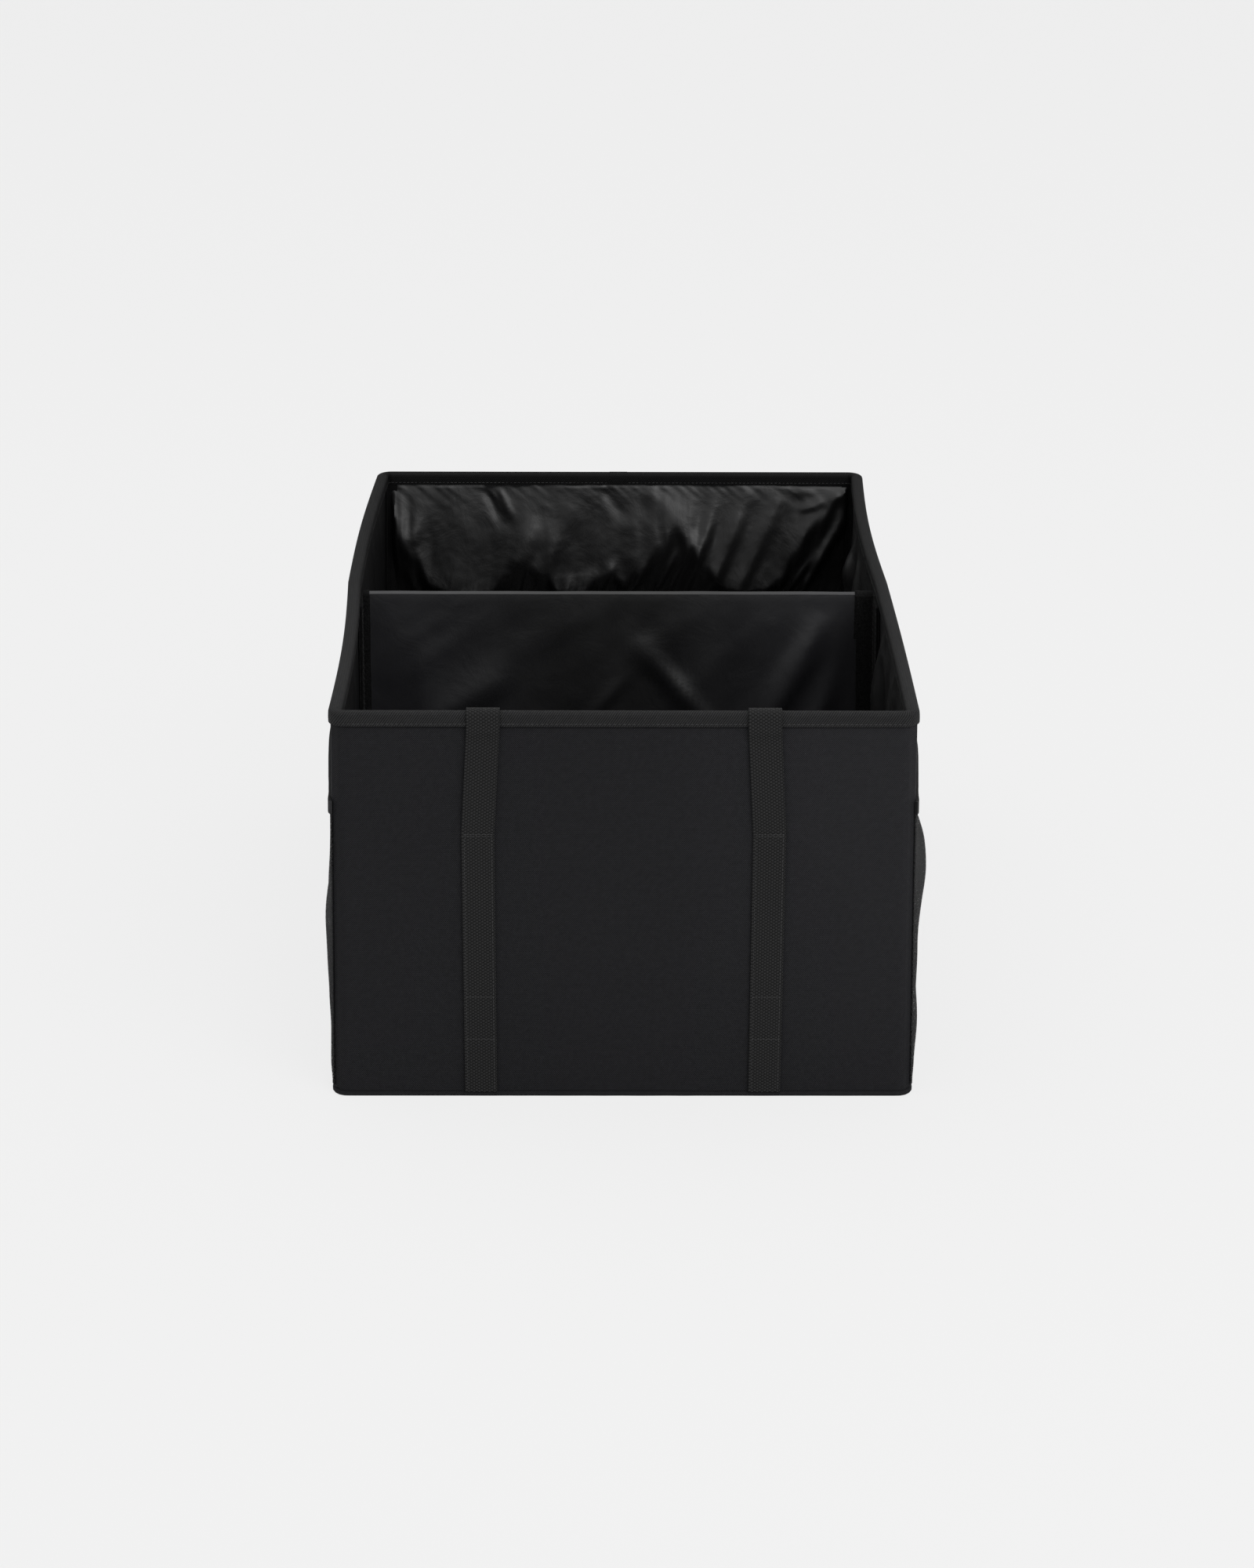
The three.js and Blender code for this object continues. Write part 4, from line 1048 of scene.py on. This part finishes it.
def webbing_rib(tree, uv):
    """The pattern of the webbing."""
    made = put_node(tree, "Group", node_tree=ribbed)
    tree.links.new(uv, made.inputs["Vector"])
    return made.outputs["Height"], made.outputs["Shade"]


webbing_finish = cloth_material(
    "black_webbing", (0.0003, 0.0003, 0.0003, 1), (0.037, 0.037, 0.0375, 1), 0.6, 0.13, webbing_rib, 0.0009
)


def spline(points, count):
    """Points evenly along a smooth curve through the given ones."""
    padded = [2 * points[0] - points[1], *points, 2 * points[-1] - points[-2]]
    fine = []
    for p0, p1, p2, p3 in zip(padded, padded[1:], padded[2:], padded[3:]):
        for k in range(24):
            t = k / 24
            square, cube = 2 * p0 - 5 * p1 + 4 * p2 - p3, 3 * p1 - p0 - 3 * p2 + p3
            fine.append(0.5 * (2 * p1 + (p2 - p0) * t + square * t**2 + cube * t**3))
    fine.append(points[-1])
    fine = np.array(fine)
    gone = np.concatenate([[0], np.cumsum(np.linalg.norm(np.diff(fine, axis=0), axis=1))])
    even = np.linspace(0, gone[-1], count)
    return [Vector([np.interp(d, gone, fine[:, k]) for k in range(3)]) for d in even], gone[-1]


LOOP_SHAPE = ((1, 0, 0.0023), (1, 0.28, 0.003), (0.9, 0.62, 0.006), (0.55, 0.91, 0.011), (0, 1, 0.0125))
LOOP_TWIST = math.radians(40)


def leg_point(wall, z, depth, rim_x=STRAP_X):
    """A place on the left leg of a handle, which leans in to rim_x above its stitching."""
    up = min(1, max(0, (z - SEWN_TOP) / (RIM_FOOT - SEWN_TOP)))
    x = -(STRAP_X + (rim_x - STRAP_X) * up)
    return wall_point(wall, x * wall["along"][0], z, depth)


def webbing_path(wall, over, hang_x, hang_y, hang_z, drop):
    """Centre line of half a handle: up the wall, over its bend, and down to the middle of the loop."""
    stand = GAP + WEB_THICK / 2
    legs = [leg_point(wall, z, -stand) for z in np.linspace(WALL_FOOT, SEWN_TOP, 60)]
    legs += over
    hang = [Vector((-hang_x * s, hang_y + off, hang_z - d * drop)) for s, d, off in LOOP_SHAPE]
    mirrored = [Vector((-p.x, p.y, p.z)) for p in reversed(hang[:-1])]
    loop, _ = spline(hang + mirrored, 161)
    return legs, loop[:81]


def make_handle(name, wall, over, hang_x, hang_y, hang_z, drop, node):
    """A length of webbing from one sewn leg, through its free loop, to the other leg.

    Known fault: the mirrored half has its two edges swapped, so the strap turns over in one step at
    the middle of its loop and shows a crack there.
    """
    legs, loop = webbing_path(wall, over, hang_x, hang_y, hang_z, drop)
    half = legs + loop
    rail, length = spline(half, 260)
    away = Vector((0, 1, 0))
    frames = []
    for k, p in enumerate(rail):
        ahead = (rail[min(k + 1, len(rail) - 1)] - rail[max(k - 1, 0)]).normalized()
        hanging = p.z < hang_z and p.y - legs[0].y > 0.004
        if hanging:
            turn = LOOP_TWIST * min(1.0, max(0.0, 1 - abs(p.x) / hang_x)) ** 0.8
            across = ahead.cross(away).normalized()
            across = across * math.cos(turn) - away * math.sin(turn)
        else:
            across = Vector((1, 0, 0))
        normal = ahead.cross(across).normalized()
        frames.append((p, normal.cross(ahead), normal))
    frames += [(Vector((-p.x, p.y, p.z)), Vector((a.x, -a.y, -a.z)), n) for p, a, n in reversed(frames[:-1])]
    last = len(frames) - 1

    def on_webbing(u, v):
        place, across, _ = frames[min(int(round(v * last)), last)]
        return place + across * (u - 0.5) * WEB_WIDE

    strap = weave_sheet(name, 14, last, WEB_WIDE, 2 * length, on_webbing)
    thicken(strap, WEB_THICK)
    finish_piece(strap, webbing_finish, "webbing", node)


OVER_RIM = RIM_HALF + TAPE / 2 + GAP + WEB_THICK / 2
front_over = []
for z in (0.197, 0.217, 0.233, 0.2405):
    lift = 0.0004 * math.sin(math.pi * (z - SEWN_TOP) / 0.062)
    front_over.append(leg_point(FRONT, z, -0.001 - lift, STRAP_RIM_X))
for z in (0.2455, 0.2505):
    front_over.append(leg_point(FRONT, z, RIM_MIDDLE - OVER_RIM, STRAP_RIM_X))
for k in range(9):
    angle = math.pi * (1 - k / 8)
    z = SHOULDER + (0.0022 + GAP + WEB_THICK / 2) * math.sin(angle)
    front_over.append(leg_point(FRONT, z, RIM_MIDDLE + OVER_RIM * math.cos(angle), STRAP_RIM_X))
hang_y = -LENGTH / 2 + WALL + GAP
make_handle("front_webbing_handle", FRONT, front_over, STRAP_RIM_X, hang_y, 0.2445, 0.104, "front_handle")

FOLD_R = 0.003
FOLD_Z = SEWN_TOP + 0.020
face_y = leg_point(BACK, FOLD_Z, -0.001).y
back_over = [leg_point(BACK, FOLD_Z - 0.012, -0.001), leg_point(BACK, FOLD_Z - 0.006, -0.001)]
for k in range(9):
    angle = math.pi * (1 - k / 8)
    y, z = face_y + FOLD_R + FOLD_R * math.cos(angle), FOLD_Z + FOLD_R * math.sin(angle)
    back_over.append(Vector((-STRAP_X, y, z)))
hang_y = face_y + 2 * FOLD_R - 0.0016
make_handle("back_webbing_handle", BACK, back_over, STRAP_X, hang_y, FOLD_Z - 0.006, 0.136, "back_handle")

strap_rows = []
for wall, sense in ((FRONT, 1), (BACK, -1)):
    out = wall_out(wall)
    for side in (-1, 1):
        for w in (-0.0083, 0.0083):
            zs = np.arange(WALL_FOOT + 0.002, SEWN_TOP, 0.0027)
            strap_rows.append([(wall_point(wall, side * STRAP_X + w, z, -GAP - WEB_THICK), out) for z in zs])
        for z in (SEWN_TOP, SEWN_TOP - 0.0012, 0.070, 0.041):
            ws = np.arange(-0.0090, 0.00901, 0.0018)
            strap_rows.append([(wall_point(wall, side * STRAP_X + w, z, -GAP - WEB_THICK), out) for w in ws])
strap_thread = sew("handle_stitches", strap_rows, length=0.0022, wide=0.0005, high=0.0004)
finish_piece(strap_thread, thread_finish, "webbing")

# A pocket of stretchy black net lies along each long wall, sewn down at the corners, the foot and the fold.
# Its mouth is bound with a narrow elastic tape, and each half bellies out from the wall.
POCKET_TOP = 0.198
ELASTIC_H = 0.008
POCKET_FOOT = 0.006
MESH_ROUND, MOUTH_ROUND = 0.6, 1.4
LEFT_POCKET = (
    (POCKET_FOOT, 0, 0),
    (0.014, 0.005, 0.005),
    (0.038, 0.0048, 0.007),
    (0.060, 0.0068, 0.008),
    (0.090, 0.0102, 0.012),
    (0.123, 0.0076, 0.013),
    (0.150, 0.0068, 0.009),
    (POCKET_TOP, 0.0075, 0.0075),
)
RIGHT_POCKET = (
    (POCKET_FOOT, 0, 0),
    (0.014, 0.005, 0.005),
    (0.038, 0.0085, 0.006),
    (0.060, 0.007, 0.008),
    (0.090, 0.0092, 0.012),
    (0.123, 0.015, 0.013),
    (0.150, 0.0085, 0.010),
    (POCKET_TOP, 0.0075, 0.0075),
)


def belly(wall, s, z):
    """How far the net of a pocket stands off the wall."""
    table = LEFT_POCKET if wall is LEFT else RIGHT_POCKET
    y = s / (LENGTH / 2 - CORNER_R) * wall["along"][1]
    if abs(y) >= 1:
        return 0.0
    column = 1 if y < 0 else 2
    i = next((k for k, row in enumerate(table) if k and row[0] >= z), len(table) - 1)
    below, above = table[i - 1], table[i]
    t = (z - below[0]) / (above[0] - below[0])
    t = t * t * (3 - 2 * t)
    power = MESH_ROUND + (MOUTH_ROUND - MESH_ROUND) * (z / POCKET_TOP) ** 3
    return (below[column] + (above[column] - below[column]) * t) * abs(math.sin(math.pi * y)) ** power


net_holes, inlet, outlet = start_group(
    "net_holes",
    [("Vector", "NodeSocketVector", None), ("Pitch", "NodeSocketFloat", 0.0022)],
    ["Cover", "Height"],
)
tree = net_holes
parts = put_node(tree, "SeparateXYZ", {0: inlet.outputs["Vector"]}).outputs
across = calc(tree, "DIVIDE", parts[0], inlet.outputs["Pitch"])
up = calc(tree, "DIVIDE", parts[1], calc(tree, "MULTIPLY", inlet.outputs["Pitch"], 0.866))
shift = calc(tree, "MULTIPLY", calc(tree, "FLOORED_MODULO", calc(tree, "FLOOR", up), 2.0), 0.5)
dx = calc(tree, "SUBTRACT", calc(tree, "FRACT", calc(tree, "ADD", across, shift)), 0.5)
dy = calc(tree, "SUBTRACT", calc(tree, "FRACT", up), 0.5)
apart = calc(tree, "SQRT", calc(tree, "ADD", calc(tree, "MULTIPLY", dx, dx), calc(tree, "MULTIPLY", dy, dy)))
tree.links.new(ramp(tree, apart, 0.24, 0.28, 0.0, 1.0), outlet.inputs["Cover"])
tree.links.new(apart, outlet.inputs["Height"])


def net_yarn(tree, uv):
    """The pattern of the net's yarn, with brighter specks that are painted glints."""
    made = put_node(tree, "Group", node_tree=net_holes)
    tree.links.new(uv, made.inputs["Vector"])
    speck = grain(tree, uv, 700.0, 1.0)
    painted_glint = ramp(tree, speck, 0.5, 0.66, 0.35, 3.2)
    return calc(tree, "MULTIPLY", made.outputs["Height"], painted_glint), made.outputs["Height"]


net_finish = cloth_material(
    "black_pocket_net", (0.003, 0.003, 0.0034, 1), (0.022, 0.022, 0.023, 1), 0.7, 0.12, net_yarn, 0.0004
)
tree = net_finish.node_tree
holes = next(n for n in tree.nodes if n.type == "GROUP" and n.node_tree is net_holes)
tree.links.new(holes.outputs["Cover"], tree.nodes["Principled BSDF"].inputs["Alpha"])
straight_rib = twill_at(0.0012, 0.0)
elastic_finish = cloth_material(
    "black_elastic", (0.005, 0.005, 0.0055, 1), (0.024, 0.024, 0.025, 1), 0.7, 0.15, straight_rib, 0.0003
)
MESH, ELASTIC = 0.0005, 0.0016
POCKET_TURN = CORNER_R * math.pi / 6
POCKET_HALF = LENGTH / 2 - CORNER_R + POCKET_TURN
NET_TOP = POCKET_TOP - ELASTIC_H
for wall in (LEFT, RIGHT):

    def on_net(u, v):
        s = (2 * u - 1) * POCKET_HALF
        z = POCKET_FOOT + (NET_TOP - POCKET_FOOT) * v
        sag = 0.0009 * noise.noise(Vector((s * 26, z * 22, 8.0))) * min(1, belly(wall, s, z) / 0.004)
        return wall_point(wall, s, z, -GAP - MESH / 2 - belly(wall, s, z) - sag)

    net = weave_sheet(f"{wall['name']}_pocket_net", 170, 64, 2 * POCKET_HALF, NET_TOP - POCKET_FOOT, on_net)
    thicken(net, MESH)
    finish_piece(net, net_finish, "pocket_mesh", f"{wall['name']}_mesh_pocket")

    def on_mouth(u, v):
        s = (2 * u - 1) * POCKET_HALF
        ripple = 0.0004 * noise.noise(Vector((s * 70, 1.5, 2.5)))
        z = NET_TOP - 0.0004 + (ELASTIC_H + 0.0004) * v + ripple
        stand = belly(wall, s, min(z, POCKET_TOP)) + abs(ripple) / 2
        return wall_point(wall, s, z, -GAP - ELASTIC / 2 - stand)

    mouth = weave_sheet(f"{wall['name']}_pocket_mouth", 240, 8, 2 * POCKET_HALF, ELASTIC_H, on_mouth)
    thicken(mouth, ELASTIC)
    finish_piece(mouth, elastic_finish, "elastic", f"{wall['name']}_pocket_elastic")
